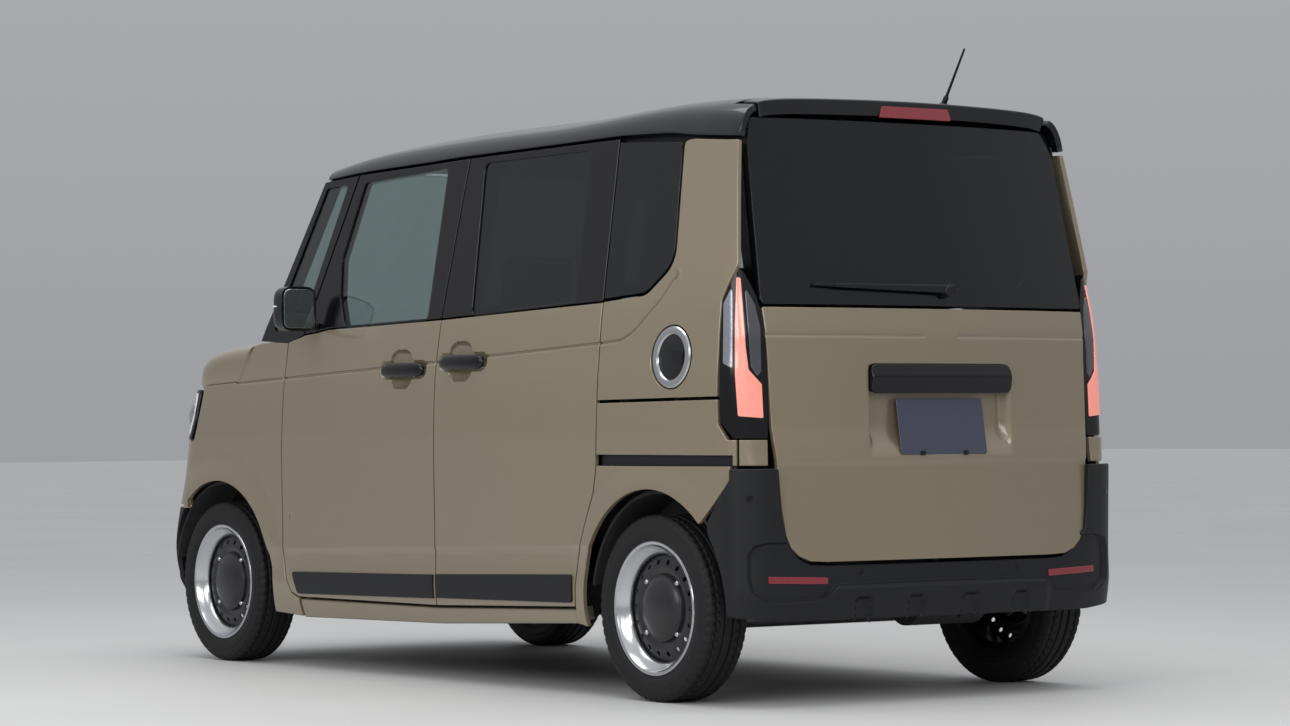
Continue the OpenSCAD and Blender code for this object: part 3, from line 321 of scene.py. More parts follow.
def panel_mesh(surface, outline, holes=(), step=18, edge=3, depth=14, guides=(), fine=()):
    """Curved panel cut from a surface: face, rounded edge, side wall and back, with smooth normals."""
    loops = [anticlockwise(resampled(np.asarray(outline, float), step * 0.6))]
    loops += [anticlockwise(resampled(np.asarray(hole, float), step * 0.6))[::-1] for hole in holes]
    inner = [moved_in(loop, edge) for loop in loops]
    low, high = loops[0].min(0), loops[0].max(0)
    u, v = np.meshgrid(np.arange(low[0], high[0], step), np.arange(low[1], high[1], step * 0.87))
    u = u + (np.arange(u.shape[0])[:, None] % 2) * step / 2
    points = np.stack([u.ravel(), v.ravel()], -1)
    spacing = np.full(len(points), float(step))
    rows = []
    for path in guides:
        ends = np.array(path, float)
        run = np.concatenate([np.linspace(a, b, max(2, int(np.hypot(*(b - a)) / step)), endpoint=False)
            for a, b in zip(ends, ends[1:])])
        along = np.gradient(run, axis=0)
        across = np.stack([-along[:, 1], along[:, 0]], -1) / np.hypot(*along.T)[:, None]
        points = points[to_path(path, points[:, 0], points[:, 1]) > step * 1.15]
        spacing = np.full(len(points), float(step))
        rows += [run + across * off for off in (-10, -6, -3, 0, 3, 6, 10)]
    for at_u, at_v, wide, high_f, grid in fine:
        box = lambda p: in_round_box(p[:, 0] - at_u, p[:, 1] - at_v, wide, high_f, 1)
        keep = box(points) > 0.4 * grid
        points, spacing = points[keep], spacing[keep]
        rows = [r[box(r) > 0.4 * grid] for r in rows]
        fu, fv = np.meshgrid(np.arange(-wide / 2, wide / 2 + 0.1, grid),
            np.arange(-high_f / 2, high_f / 2 + 0.1, grid))
        dots = np.stack([fu.ravel() + at_u, fv.ravel() + at_v], -1)
        points = np.concatenate([points, dots])
        spacing = np.concatenate([spacing, np.full(len(dots), float(grid))])
    for row in rows:
        points = np.concatenate([points, row])
        spacing = np.concatenate([spacing, np.full(len(row), 4.0)])
    keep = within(inner, points)
    for loop in inner:
        closed = np.concatenate([loop, loop[:1]])
        keep &= to_path(closed, points[:, 0], points[:, 1]) > 0.45 * spacing
    flat = np.concatenate(inner + [points[keep]])
    links, first = [], 0
    for loop in inner:
        n = len(loop)
        links += [(first + i, first + (i + 1) % n) for i in range(n)]
        first += n
    coords, _, tris, _, _, _ = delaunay_2d_cdt([Vector(p) for p in flat], links, [], 0, 1e-4)
    flat = np.array([tuple(c) for c in coords])
    tris = np.array([t for t in tris if len(t) == 3])
    tris = tris[within(inner, flat[tris].mean(1))]

    def at(p):
        h = 0.6
        place = surface(p[:, 0], p[:, 1])
        du = surface(p[:, 0] + h, p[:, 1]) - surface(p[:, 0] - h, p[:, 1])
        dv = surface(p[:, 0], p[:, 1] + h) - surface(p[:, 0], p[:, 1] - h)
        n = np.cross(du, dv)
        return place, n / np.maximum(np.linalg.norm(n, axis=1), 1e-9)[:, None]

    face, face_n = at(flat)
    # The outer side is the one away from the middle of the car, at half its height
    centre = np.array([0, 0, 800.0])
    turn = 1 if np.sum((face - centre) * face_n) > 0 else -1
    face_n = face_n * turn
    order = tris if turn > 0 else tris[:, ::-1]
    verts, normals = [face, face - face_n * depth], [face_n, -face_n]
    faces = order.tolist() + (order[:, ::-1] + len(face)).tolist()
    count = 2 * len(face)
    for loop, ring in zip(loops, inner):
        base, base_n = at(ring)
        base_n = base_n * turn
        rim_at, _ = at(loop)
        out = rim_at - base
        out -= np.sum(out * base_n, 1)[:, None] * base_n
        reach = np.linalg.norm(out, axis=1)[:, None]
        out /= np.maximum(reach, 1e-6)
        strips = []
        for a in np.radians([0, 30, 60, 90]):
            strips.append((base + out * reach * math.sin(a) - base_n * edge * (1 - math.cos(a)),
                base_n * math.cos(a) + out * math.sin(a)))
        strips.append((base + out * reach - base_n * max(depth, edge), out))
        strips.append((base - base_n * depth, -base_n))
        n = len(loop)
        for place, normal in strips:
            verts.append(place)
            normals.append(normal)
        for k in range(len(strips) - 1):
            for i in range(n):
                j = (i + 1) % n
                quad = [count + k * n + i, count + (k + 1) * n + i, count + (k + 1) * n + j,
                    count + k * n + j]
                faces.append(quad if turn > 0 else quad[::-1])
        count += n * len(strips)
    return np.concatenate(verts), faces, np.concatenate(normals)


def panel(name, surface, outline, finish, body, replaces=(), **shape):
    verts, faces, normals = panel_mesh(surface, outline, **shape)
    return make(name, verts, faces, finish, body, replaces, normals)


def panel_pair(name, surface, outline, finish, bodies, replaces=((), ()), **shape):
    """A left panel and its mirror image on the right."""
    verts, faces, normals = panel_mesh(surface, outline, **shape)
    left = make(name + "_left", verts, faces, finish, bodies[0], replaces[0], normals)
    verts, faces, normals = mirrored(verts, faces, normals)
    return left, make(name + "_right", verts, faces, finish, bodies[1], replaces[1], normals)


LOFT_SHARP = 40


def bands(count, n):
    """Faces between rings of n points each."""
    return [[k * n + i, k * n + (i + 1) % n, (k + 1) * n + (i + 1) % n, (k + 1) * n + i]
        for k in range(count - 1) for i in range(n)]


def loft(name, rings, finish, body, replaces=(), mirror_to=None):
    """Closed skin over rings of points, with its ends capped."""
    rings = np.asarray(rings, float)
    count, n = rings.shape[:2]
    faces = bands(count, n)
    faces += [list(range(n - 1, -1, -1)), list(range((count - 1) * n, count * n))]
    verts = rings.reshape(-1, 3)
    a, b, c = (verts[faces[0][i]] for i in (0, 1, 2))
    if np.cross(b - a, c - a) @ (a - verts[:n].mean(0)) < 0:
        faces = [f[::-1] for f in faces]
    piece = make(name, verts, faces, finish, body, replaces, sharp=LOFT_SHARP)
    if mirror_to:
        make(name.replace("left", "right"), verts * (1, -1, 1), [f[::-1] for f in faces], finish,
            mirror_to[0], mirror_to[1], sharp=LOFT_SHARP)
    return piece


def ring(centre, e1, e2, half1, half2, n=24, power=2.0):
    """Rounded loop about a centre; power 2 is an ellipse, more is squarer."""
    a = np.linspace(0, 2 * math.pi, n, endpoint=False)
    c, t = np.cos(a), np.sin(a)
    k = 2 / power
    u, v = np.sign(c) * np.abs(c) ** k * half1, np.sign(t) * np.abs(t) ** k * half2
    centre, e1, e2 = (np.asarray(place, float) for place in (centre, e1, e2))
    return centre + u[:, None] * e1 + v[:, None] * e2


def turned(name, profile, centre, axis, finish, body, replaces=(), n=96, sharp=30, ripple=None):
    """Surface turned about an axis, from (radius, height along the axis) rows.

    ripple(r, h, angle) adds to the radius.
    """
    axis = np.asarray(axis, float) / np.linalg.norm(axis)
    e1 = np.cross(axis, (0, 0, 1.0)) if abs(axis[2]) < 0.9 else np.cross(axis, (1.0, 0, 0))
    e1 /= np.linalg.norm(e1)
    e2 = np.cross(axis, e1)
    rows = np.array(profile, float)
    angle = np.linspace(0, 2 * math.pi, n, endpoint=False)
    r = np.repeat(rows[:, :1], n, 1)
    h = np.repeat(rows[:, 1:], n, 1)
    if ripple is not None:
        r = r + ripple(r, h, angle[None, :])
    spokes = np.cos(angle)[:, None] * e1 + np.sin(angle)[:, None] * e2
    verts = np.asarray(centre, float) + r[..., None] * spokes + h[..., None] * axis
    m = len(rows)
    faces = bands(m, n)
    for k, order in ((0, -1), (m - 1, 1)):
        if rows[k, 0] <= 0.01:
            faces.append(list(range(k * n, k * n + n))[::order])
    verts = verts.reshape(-1, 3)
    first = verts[faces[0]]
    out = np.cross(first[1] - first[0], first[2] - first[0])
    rise = rows[1] - rows[0]
    if out @ (spokes[0] * rise[1] - axis * rise[0]) < 0:
        faces = [f[::-1] for f in faces]
    return make(name, verts, faces, finish, body, replaces, sharp=sharp)


# Finishes


def finish(name, colour, rough=0.4, mottle=(30, 0.05), grain=(800, 0.02), spread=0.08, **sockets):
    """Procedural finish: noise varies the colour and the roughness and gives the grain."""
    mat = bpy.data.materials.new(name)
    mat.use_nodes = True
    nodes, links = mat.node_tree.nodes, mat.node_tree.links
    shader = nodes["Principled BSDF"]
    place = nodes.new("ShaderNodeTexCoord")

    def noise(scale):
        node = nodes.new("ShaderNodeTexNoise")
        node.inputs["Scale"].default_value = scale
        node.inputs["Detail"].default_value = 4
        links.new(place.outputs["Object"], node.inputs["Vector"])
        return node.outputs[0]

    ramp = nodes.new("ShaderNodeValToRGB")
    for element, at, gain in zip(ramp.color_ramp.elements, (0.3, 0.7), (1 - mottle[1], 1 + mottle[1])):
        element.position = at
        element.color = [min(1, c * gain) for c in colour] + [1]
    links.new(noise(mottle[0]), ramp.inputs["Fac"])
    links.new(ramp.outputs["Color"], shader.inputs["Base Color"])
    span = nodes.new("ShaderNodeMapRange")
    span.inputs["To Min"].default_value = max(0, rough - spread)
    span.inputs["To Max"].default_value = min(1, rough + spread)
    links.new(noise(mottle[0] * 3), span.inputs["Value"])
    links.new(span.outputs["Result"], shader.inputs["Roughness"])
    bump = nodes.new("ShaderNodeBump")
    bump.inputs["Strength"].default_value = grain[1]
    bump.inputs["Distance"].default_value = 1 / grain[0]
    links.new(noise(grain[0]), bump.inputs["Height"])
    links.new(bump.outputs["Normal"], shader.inputs["Normal"])
    for socket, value in sockets.items():
        shader.inputs[socket.replace("_", " ")].default_value = value
    return mat


# Colour, roughness, mottle and grain as (scale, strength), spread of the roughness, other sockets
LOOKS = {
    "paint": ((0.235, 0.19, 0.125), 0.34, (1500, 0.06), (260, 0.012), 0.04,
        dict(Metallic=0.25, Coat_Weight=1.0, Coat_Roughness=0.03)),
    "roof_black": ((0.005, 0.0055, 0.008), 0.22, (900, 0.1), (240, 0.01), 0.03,
        dict(Specular_IOR_Level=0.3, Coat_Weight=0.5, Coat_Roughness=0.03)),
    "gloss_black": ((0.005, 0.005, 0.007), 0.14, (300, 0.1), (300, 0.01), 0.04,
        dict(Specular_IOR_Level=0.35)),
    "black_plastic": ((0.008, 0.0085, 0.011), 0.46, (220, 0.12), (1400, 0.12), 0.07,
        dict(Specular_IOR_Level=0.3)),
    "lid_metal": ((0.55, 0.56, 0.58), 0.2, (400, 0.05), (900, 0.02), 0.05, dict(Metallic=1.0)),
    "clear_glass": ((0.5, 0.6, 0.59), 0.01, (20, 0.02), (30, 0.002), 0.005,
        dict(Transmission_Weight=1.0, IOR=1.45)),
    "dark_glass": ((0.022, 0.026, 0.034), 0.015, (20, 0.05), (30, 0.002), 0.005,
        dict(Transmission_Weight=0.85, IOR=1.45, Specular_IOR_Level=0.3)),
    "lamp_clear": ((0.82, 0.85, 0.9), 0.03, (60, 0.02), (200, 0.01), 0.01,
        dict(Transmission_Weight=0.95, IOR=1.45)),
    "lamp_red": ((0.72, 0.09, 0.07), 0.16, (80, 0.05), (500, 0.03), 0.04,
        dict(Transmission_Weight=0.15, Emission_Color=(1.0, 0.16, 0.11, 1), Emission_Strength=0.35)),
    "seat_cloth": ((0.115, 0.09, 0.07), 0.88, (900, 0.3), (1800, 0.5), 0.06, dict(Sheen_Weight=0.4)),
    "cabin_plastic": ((0.03, 0.029, 0.028), 0.55, (120, 0.1), (1500, 0.15), 0.08, {}),
    "underbody": ((0.02, 0.02, 0.02), 0.7, (25, 0.3), (500, 0.3), 0.1, {}),
    "steel": ((0.2, 0.2, 0.21), 0.42, (60, 0.2), (700, 0.1), 0.12, dict(Metallic=0.9)),
    "plate_metal": ((0.035, 0.04, 0.075), 0.22, (200, 0.06), (600, 0.02), 0.04, dict(Coat_Weight=0.6)),
    "tyre_rubber": ((0.011, 0.011, 0.012), 0.62, (180, 0.2), (1600, 0.15), 0.08,
        dict(Specular_IOR_Level=0.25)),
    "wheel_black": ((0.012, 0.012, 0.014), 0.3, (250, 0.12), (500, 0.03), 0.06, {}),
    "lamp_pink": ((0.85, 0.3, 0.24), 0.2, (60, 0.05), (600, 0.03), 0.05,
        dict(Emission_Color=(1.0, 0.27, 0.2, 1), Emission_Strength=0.3, Coat_Weight=1.0)),
    "reflector_red": ((0.22, 0.012, 0.02), 0.15, (400, 0.25), (300, 0.1), 0.04, dict(Coat_Weight=1.0)),
    "lamp_white": ((0.8, 0.82, 0.85), 0.2, (60, 0.03), (600, 0.03), 0.05, dict(Coat_Weight=1.0)),
    "lens_dark": ((0.05, 0.052, 0.06), 0.12, (300, 0.3), (250, 0.15), 0.05, dict(Coat_Weight=1.0)),
    "lens_grey": ((0.3, 0.31, 0.35), 0.15, (260, 0.15), (250, 0.1), 0.05,
        dict(Metallic=0.6, Coat_Weight=1.0)),
    "mirror_glass": ((0.6, 0.65, 0.64), 0.03, (20, 0.02), (30, 0.002), 0.01, dict(Metallic=1.0))}
FINISH = {name: finish(name, *row, **more) for name, (*row, more) in LOOKS.items()}

# Side panels


def shifted(x, points):
    """Points whose first figure is measured from x."""
    return [(x + p[0], *p[1:]) for p in points]


def seam(x, points, top):
    """Seam up the side, measured from x and ending at the roof rail."""
    return shifted(x, points) + [(x + top, rail_z(x + top))]


# Seams (along, up), from below upwards
A_SEAM = seam(FRONT_X, [(-512, 236), (-467, 252), (-436, 300), (-421, 376), (-421, 730), (-436, 972),
    (-447, 1095), (-545, 1114), (-615, 1270)], -768)
B_SEAM = seam(MID_X, [(-100, 238), (-102, 700), (-107, 1000), (-122, 1150)], -167)
C_SEAM = seam(REAR_X, [(392, 262), (387, 330), (370, 406), (327, 520), (287, 610), (272, 680), (264, 885),
    (261, 1174)], 282)
# Lower edge of the black window frames
BELT = [(FRONT_X - 400, 1160), (FRONT_X - 549, 1114), (FRONT_X - 700, 1131), (MID_X - 122, 1147),
    (REAR_X + 261, 1178)]
belt_z = curve(sorted(BELT), 0)


def rail_run(x0, x1, n=8):
    return [(x, rail_z(x)) for x in np.linspace(x0, x1, n + 1)[1:-1]]


def split(outline, keep_upper):
    """Part of a door's outline below or above the waist."""
    loop = resampled(np.array(outline, float), 6)
    kept = (loop[:, 1] > belt_z(loop[:, 0])) == keep_upper
    runs = []
    for start in np.flatnonzero(kept & ~np.roll(kept, 1)):
        runs.append(np.roll(loop, -start, 0)[:np.argmin(np.roll(kept, -start))])
    run = max(runs, key=len)
    a, b = run[-1], run[0]
    waist = [(x, belt_z(x)) for x in np.linspace(a[0], b[0], 12)]
    return np.concatenate([run[1:-1], np.array(waist)])


BODY = ("body", "body")
SIDES = ((1, "left"), (-1, "right"))
DOORS = ("front_left_door", "front_right_door")
door_loop = A_SEAM + rail_run(FRONT_X - 768, MID_X - 167) + B_SEAM[::-1]
sliding_loop = B_SEAM + rail_run(MID_X - 167, REAR_X + 282) + C_SEAM[::-1]
front_window = rounded([(FRONT_X - 797, 1140), (MID_X - 40, 1148), (MID_X - 45, 1634),
    (FRONT_X - 809, 1612), (FRONT_X - 727, 1360), (FRONT_X - 752, 1230)], 24)
sliding_window = rounded([(MID_X - 292, 1159), (REAR_X + 405, 1184), (REAR_X + 426, 1643),
    (MID_X - 257, 1637)], 24)


def inset(outline, by):
    return moved_in(anticlockwise(resampled(np.asarray(outline, float), 12)), by)


door_lower = split(door_loop, False)
door_upper = split(door_loop, True)
slide_lower = split(sliding_loop, False)
slide_upper = split(sliding_loop, True)
DOOR_SKINS = [
    ("front_door", door_lower, door_upper, front_window, DOORS,
        (("front_door_left",), ("front_door_right",))),
    ("sliding_door", slide_lower, slide_upper, sliding_window, BODY, (("sliding_doors",), ()))]
for label, lower, upper, window, bodies, nodes in DOOR_SKINS:
    hx, hz = HANDLES[label.split("_")[0]]
    panel_pair(label + "_skin", side_skin, inset(lower, GAP / 2), "paint", bodies, nodes,
        guides=[SIDE_LINE, LOW_CREASE], fine=[(hx, hz, 296, 146, 4)])
    panel_pair(label + "_frame", side_plain(), inset(upper, GAP / 2), "gloss_black", bodies,
        holes=[window], depth=30)
GLASS_IN = -6
panel_pair("front_door_glass", side_plain(GLASS_IN), inset(front_window, -8), "clear_glass", DOORS,
    (("door_glass_left",), ("door_glass_right",)), depth=5, edge=1, step=30)
panel_pair("sliding_door_glass", side_plain(GLASS_IN), inset(sliding_window, -8), "dark_glass", BODY,
    (("fixed_side_glass",), ()), depth=5, edge=1, step=30)

# Fenders and quarter panels


def arc(axle, a0, a1):
    """Points of a wheel arch, by angle from straight ahead."""
    return [(axle + ARCH_R * math.cos(a), HUB_Z + ARCH_R * math.sin(a))
        for a in np.radians(np.linspace(a0, a1, 48))]


fender_loop = A_SEAM[:7] + shifted(FRONT_X, [(-330, 1097), (-224, 1089), (-184, 1040), (-138, 964),
    (116, 952), (116, 925), (126, 893), (143, 850), (158, 810), (180, 766), (212, 754), (212, 531)])
fender_loop += arc(FRONT_X, 48, 196) + [(FRONT_X - 512, 170)]
panel_pair("fender", side_skin, inset(fender_loop, GAP / 2), "paint", BODY, (("fenders",), ()),
    guides=[SIDE_LINE])
sill_loop = [(FRONT_X - 512, 231), (MID_X - 100, 233), (REAR_X + 392, 257), (REAR_X + 392, 212),
    (MID_X - 100, 180), (FRONT_X - 512, 168)]
panel_pair("sill_skin", side_plain(-5), sill_loop, "paint", BODY, (("sills",), ()), depth=60, edge=8,
    step=16)

# Quarter panel: an upper piece with the lid, one between its seam and the door rail, and the arch flare
SLOT_REAR_X = REAR_X - 360
SLOT_LOW, SLOT_HIGH = 692, 720
quarter_top = shifted(REAR_X, [(264, 881), (261, 1180), (49, 1193, 90), (-76, 1280, 90), (-44, 1645, 30)])
quarter_top += rail_run(REAR_X - 44, REAR_X - 299, 5)
quarter_top += shifted(REAR_X, [(-299, 1634), (-357, 1270), (-332, 1215), (-314, 1166), (-317, 888)])
quarter_mid = shifted(REAR_X, [(270, SLOT_HIGH), (264, 877), (-317, 884), (-320, 812), (-352, 768),
    (-380, 768), (-380, 690)]) + [(SLOT_REAR_X - 4, 690), (SLOT_REAR_X - 4, SLOT_HIGH)]
quarter_low = [(REAR_X + 392, 212)] + C_SEAM[:5] + [(REAR_X + 272, 680), (REAR_X + 271, SLOT_LOW),
    (SLOT_REAR_X, SLOT_LOW + 2), (REAR_X - 368, 655), (REAR_X - 252, 528)] + arc(REAR_X, 134, -12)
LID_X, LID_Z, LID_R = REAR_X - 103, 1007, 91
LID_SWING = 9
lid_hole = [(LID_X + (LID_R + 3 + LID_SWING * (math.cos(a) > 0)) * math.cos(a),
    LID_Z + (LID_R + 3) * math.sin(a)) for a in np.linspace(0, 2 * math.pi, 72, False)]
top_loop = inset(rounded(quarter_top, 0), GAP / 2)
panel("quarter_top_left", side_skin, top_loop, "paint", "body", ("quarter_panels",), holes=[lid_hole],
    guides=[SIDE_LINE])
verts, faces, normals = mirrored(*panel_mesh(side_skin, top_loop, guides=[SIDE_LINE]))
make("quarter_top_right", verts, faces, "paint", "body", (), normals)
panel_pair("quarter_mid", side_skin, inset(quarter_mid, 2), "paint", BODY, step=10)
panel_pair("quarter_flare", side_skin, inset(quarter_low, GAP / 2), "paint", BODY, step=11)
panel_pair("door_rail", side_plain(-18), [(REAR_X + 262, SLOT_LOW - 12), (REAR_X + 262, SLOT_HIGH + 12),
    (SLOT_REAR_X - 6, SLOT_HIGH + 12), (SLOT_REAR_X - 6, SLOT_LOW - 12)], "black_plastic", BODY, depth=8,
    edge=1, step=40)
quarter_window = rounded(shifted(REAR_X,
    [(261, 1184), (49, 1197, 90), (-72, 1284, 90), (-40, 1643, 30), (282, 1660)]), 0)
panel_pair("quarter_glass", side_plain(-1), inset(quarter_window, 3), "dark_glass", BODY, depth=5,
    edge=1.5, step=24)
panel_pair("quarter_frame", side_plain(-7), inset(quarter_window, 3), "gloss_black", BODY, depth=26,
    edge=1, step=24, holes=[inset(quarter_window, 34)])
corner_window = rounded(shifted(FRONT_X,
    [(-500, 1130), (-345, 1130), (-415, 1290), (-570, 1605), (-705, 1612), (-575, 1270)]), 12)
panel_pair("corner_glass", side_plain(-5), inset(corner_window, -4), "clear_glass", BODY, depth=5, edge=1,
    step=30)

# Tailgate

GROOVE_Z, GROOVE_DEEP, GROOVE_HALF = 1067, 5, 4.5
GROOVE_FROM, GROOVE_TO = 62, 626
GATE_CREASE_Z, FOLD_OUT = 702, 9
RECESS_HALF, RECESS_TOP, RECESS_DEEP = 276, 986, 36


def gate_x(y, z):
    """Tail surface with the pressed line, the fold above the bumper and the plate recess."""
    half = np.abs(y)
    line = GROOVE_DEEP * np.exp(-(((z - GROOVE_Z) / GROOVE_HALF) ** 2))
    line = line * ease((half - GROOVE_FROM) / 12) * ease((GROOVE_TO - half) / 20)
    sides = ease((RECESS_HALF + 10 * ease((800 - z) / 100) - half) / 28)
    scoop = RECESS_DEEP * sides * ease((z - 706) / 105) * ease((RECESS_TOP - z) / 8)
    fold = FOLD_OUT * ease((z - GATE_CREASE_Z + 14) / 22) * (1 - ease((z - GATE_CREASE_Z - 20) / 90))
    return tail_x(y, z) + line + scoop - fold * 0.6


def gate_skin(y, z):
    return np.stack([gate_x(y, z), y, z], -1)


GATE = "tailgate_body"
gate_lower = whole([(430, 413), (490, 416), (530, 432), (556, 455), (574, 490), (585, 560), (596, 690),
    (607, 800), (611, 1000), (617, 1148, 8)])
gate_lower = rounded(gate_lower, 0)
panel("tailgate_skin", gate_skin, inset(gate_lower, 1), "paint", GATE, ("tailgate",),
    guides=[[(-620, GROOVE_Z), (620, GROOVE_Z)], [(-600, GATE_CREASE_Z), (600, GATE_CREASE_Z)]],
    fine=[(0, 848, 620, 300, 9)], depth=16)
glass_loop = rounded(whole([(618, 1155, 14), (609, 1300, 0), (590, 1640, 0), (571, 1700, 30)]), 0)
panel("rear_glass", tail_plain(0), glass_loop, "dark_glass", GATE, ("tailgate_glass",), depth=5, edge=2,
    step=26)
panel("gate_frame", tail_plain(-7), inset(glass_loop, 2), "gloss_black", GATE, depth=34, edge=1, step=26,
    holes=[inset(glass_loop, 52)])
inner_loop = inset(whole([(400, 440), (520, 450), (560, 560), (580, 800), (590, 1140)]), 0)
panel("gate_trim", tail_plain(-44), inner_loop, "cabin_plastic", GATE, depth=8, edge=3, step=30)

# Roof and spoiler

ARCH_HALF_W, ARCH_RISE = 630, 120
# Share by which the section is flattened at the front, and how much more at the rear
FLAT_FRONT, FLAT_MORE = 0.08, 0.67
arch_run = np.concatenate([[0], np.cumsum(np.hypot(np.diff([s * ARCH_HALF_W for s, _ in ARCH]),
    np.diff([f * ARCH_RISE for _, f in ARCH])))])
ARCH_END = arch_run[-1]


def arch_curves(blur):
    """Share of the half width and share of the drop, by run across the whole roof."""
    out = []
    for col, sign in ((0, -1), (1, 1)):
        half = [(a, row[col]) for a, row in zip(arch_run, ARCH)]
        out.append(curve([(-a, sign * share) for a, share in half[:0:-1]] + half, blur))
    return out


arch_soft, arch_tight = arch_curves(34), arch_curves(9)


def arch_part(which, a):
    """Section of the roof, smoother in its middle than at its edges."""
    edge = ease((np.abs(a) - ARCH_END + 170) / 110)
    return arch_soft[which](a) * (1 - edge) + arch_tight[which](a) * edge


def arch_share(a):
    return arch_part(0, a)


def arch_drop(a):
    return arch_part(1, a)


def roof_skin(x, a):
    """Roof surface: place along the car, run across it from the middle."""
    half = HALF_W - side_inset(rail_z(x)) - rear_tuck(REAR_X - x)
    crown = crown_z(x)
    flat = FLAT_FRONT + FLAT_MORE * ease((MID_X - x - 550) / 900)
    drop = arch_drop(a) * (1 - flat * (1 - np.abs(arch_share(a)) ** 14))
    return np.stack([x, arch_share(a) * half, crown - drop * (crown - rail_z(x) - GAP / 2)], -1)


runs = np.linspace(-ARCH_END, ARCH_END, 61)
WING_END, EAR_RUN, EAR_X = ARCH_END * 0.845, ARCH_END * 0.872, REAR_X - 300
roof_loop = [(EAR_X, -ARCH_END), (EAR_X, -EAR_RUN)]
roof_loop += [(ROOF_END + ROOF_BOW * arch_share(a) ** 2, a) for a in np.linspace(-EAR_RUN, EAR_RUN, 49)]
roof_loop += [(EAR_X, EAR_RUN), (EAR_X, ARCH_END)]
roof_loop += [(FRONT_X - 506 - 62 * arch_share(a) ** 2, a) for a in runs[::-1]]
panel("roof_skin", roof_skin, np.array(roof_loop), "roof_black", "body", ("roof",), step=24, depth=20,
    edge=4)
wing_runs = np.linspace(-WING_END, WING_END, 41)
wing_half = lambda a: arch_share(a) * 632
wing_loop = [(tail_x(wing_half(a), 1720) - 20, a) for a in wing_runs]
wing_loop += [(ROOF_END - 18 + ROOF_BOW * arch_share(a) ** 2, a) for a in wing_runs[::-1]]
panel("spoiler_skin", roof_skin, np.array(wing_loop), "roof_black", GATE, ("spoiler",), step=12, depth=46,
    edge=7)
# Dark gutter behind the gap over the doors
gutter_x = np.linspace(FRONT_X - 740, REAR_X - 290, 40)
gutter = [(x, rail_z(x) - 16) for x in gutter_x] + [(x, rail_z(x) + 20) for x in gutter_x[::-1]]
panel_pair("rail_gutter", side_plain(-38), gutter, "black_plastic", BODY, depth=6, edge=1, step=24)
STOP_HALF = 138
panel("stop_lamp", lambda y, z: np.stack([tail_x(y, 1720 + 0 * z) - 22 + (z - 1720) * 0.15, y, z], -1),
    rounded([(-STOP_HALF, 1712), (STOP_HALF, 1712), (STOP_HALF - 10, 1748), (10 - STOP_HALF, 1748)], 6),
    "reflector_red", GATE, depth=10, edge=2, step=8)

# Rear bumper


def superellipse(t, start, end, half, n):
    c, s = np.cos(t), np.sin(t)
    return start + (end - start) * np.abs(s) ** (2 / n), np.sign(c) * half * np.abs(c) ** (2 / n)


def plan_run(ends, z0):
    """Angle by run round a plan curve from its middle, at one height."""
    t = 0.5 * math.pi * (1 - np.linspace(0, 1, 4001) ** 3)
    t = np.concatenate([t, math.pi - t[-2::-1]])
    order = np.argsort(t)
    x, y = superellipse(t[order], *ends(np.full(t.shape, float(z0))))
    run = np.concatenate([[0], np.cumsum(np.hypot(np.diff(x), np.diff(y)))])
    return lambda s: np.interp(run[-1] / 2 - s, run, t[order]), run[-1] / 2


def tail_ends(z):
    return REAR_X - 268, TAIL_X + tail_set(z), HALF_W - side_inset(z), 5


def nose_ends(z):
    return NOSE_X - nose_start(z), NOSE_X - nose_set(z), HALF_W - side_inset(z), nose_square(z)


tail_angle, TAIL_RUN = plan_run(tail_ends, 413)
nose_angle, NOSE_RUN = plan_run(nose_ends, 620)


def bumper_skin(out=0.0, ends=tail_ends, angle=tail_angle):
    """Surface round an end of the car: run from its middle, height."""
    def surface(s, z):
        start, end, half, n = ends(z)
        grow = out(s, z) if callable(out) else out
        forward = np.sign(np.mean(end - start))
        x, y = superellipse(angle(s), start, end + forward * grow, half + grow, n)
        return np.stack([x, y, z], -1)
    return surface


def run_at(y, z=413, ends=tail_ends, angle=tail_angle, full=TAIL_RUN):
    """Run round the end of the car at which it has this half width."""
    s = np.linspace(0, full * 0.9, 900)
    _, ys = superellipse(angle(s), *ends(np.full(s.shape, float(z))))
    return float(np.interp(y, ys, s))


def run_back(x, z=413, ends=tail_ends, angle=tail_angle, full=TAIL_RUN, way=1):
    """Run round the end of the car at which it has come back to x; way is -1 at the nose."""
    s = np.linspace(0, full * 0.999, 1500)
    xs, _ = superellipse(angle(s), *ends(np.full(s.shape, float(z))))
    return float(np.interp(way * x, way * xs, s))


INSERT_DEEP, ARCH_CLEAR = 13, 8
insert_half = [(0, 345), (run_at(402), 343), (run_at(452), 303), (run_at(640), 298), (run_at(690), 330),
    (run_at(698), 380), (run_at(697), 440), (run_at(680), 466), (run_at(640), 476), (0, 476)]
insert_loop = rounded(whole(insert_half), 14)
insert_path = [tuple(q) for q in insert_loop] + [tuple(insert_loop[0])]
STEP_Y = (303, 105, -105, -303)


def bumper_out(run, z):
    """Relief of the rear bumper: sunk band with the reflectors, and four pockets in the skirt."""
    depth = np.where(inside(insert_loop, run, z), to_path(insert_path, run, z), 0)
    out = -INSERT_DEEP * ease(depth / 9)
    for y in STEP_Y:
        edge = in_round_box(run - y, z - 278, 64, 70, 14)
        out = out - 9 * ease(-edge / 6)
    return out + 5 * ease((345 - z) / 12) * ease((430 - np.abs(run)) / 30)


def arch_edge(axle, way, z):
    """Place along the car of a bumper's end, just clear of a wheel arch."""
    return axle + way * math.sqrt((ARCH_R + ARCH_CLEAR) ** 2 - (z - HUB_Z) ** 2)


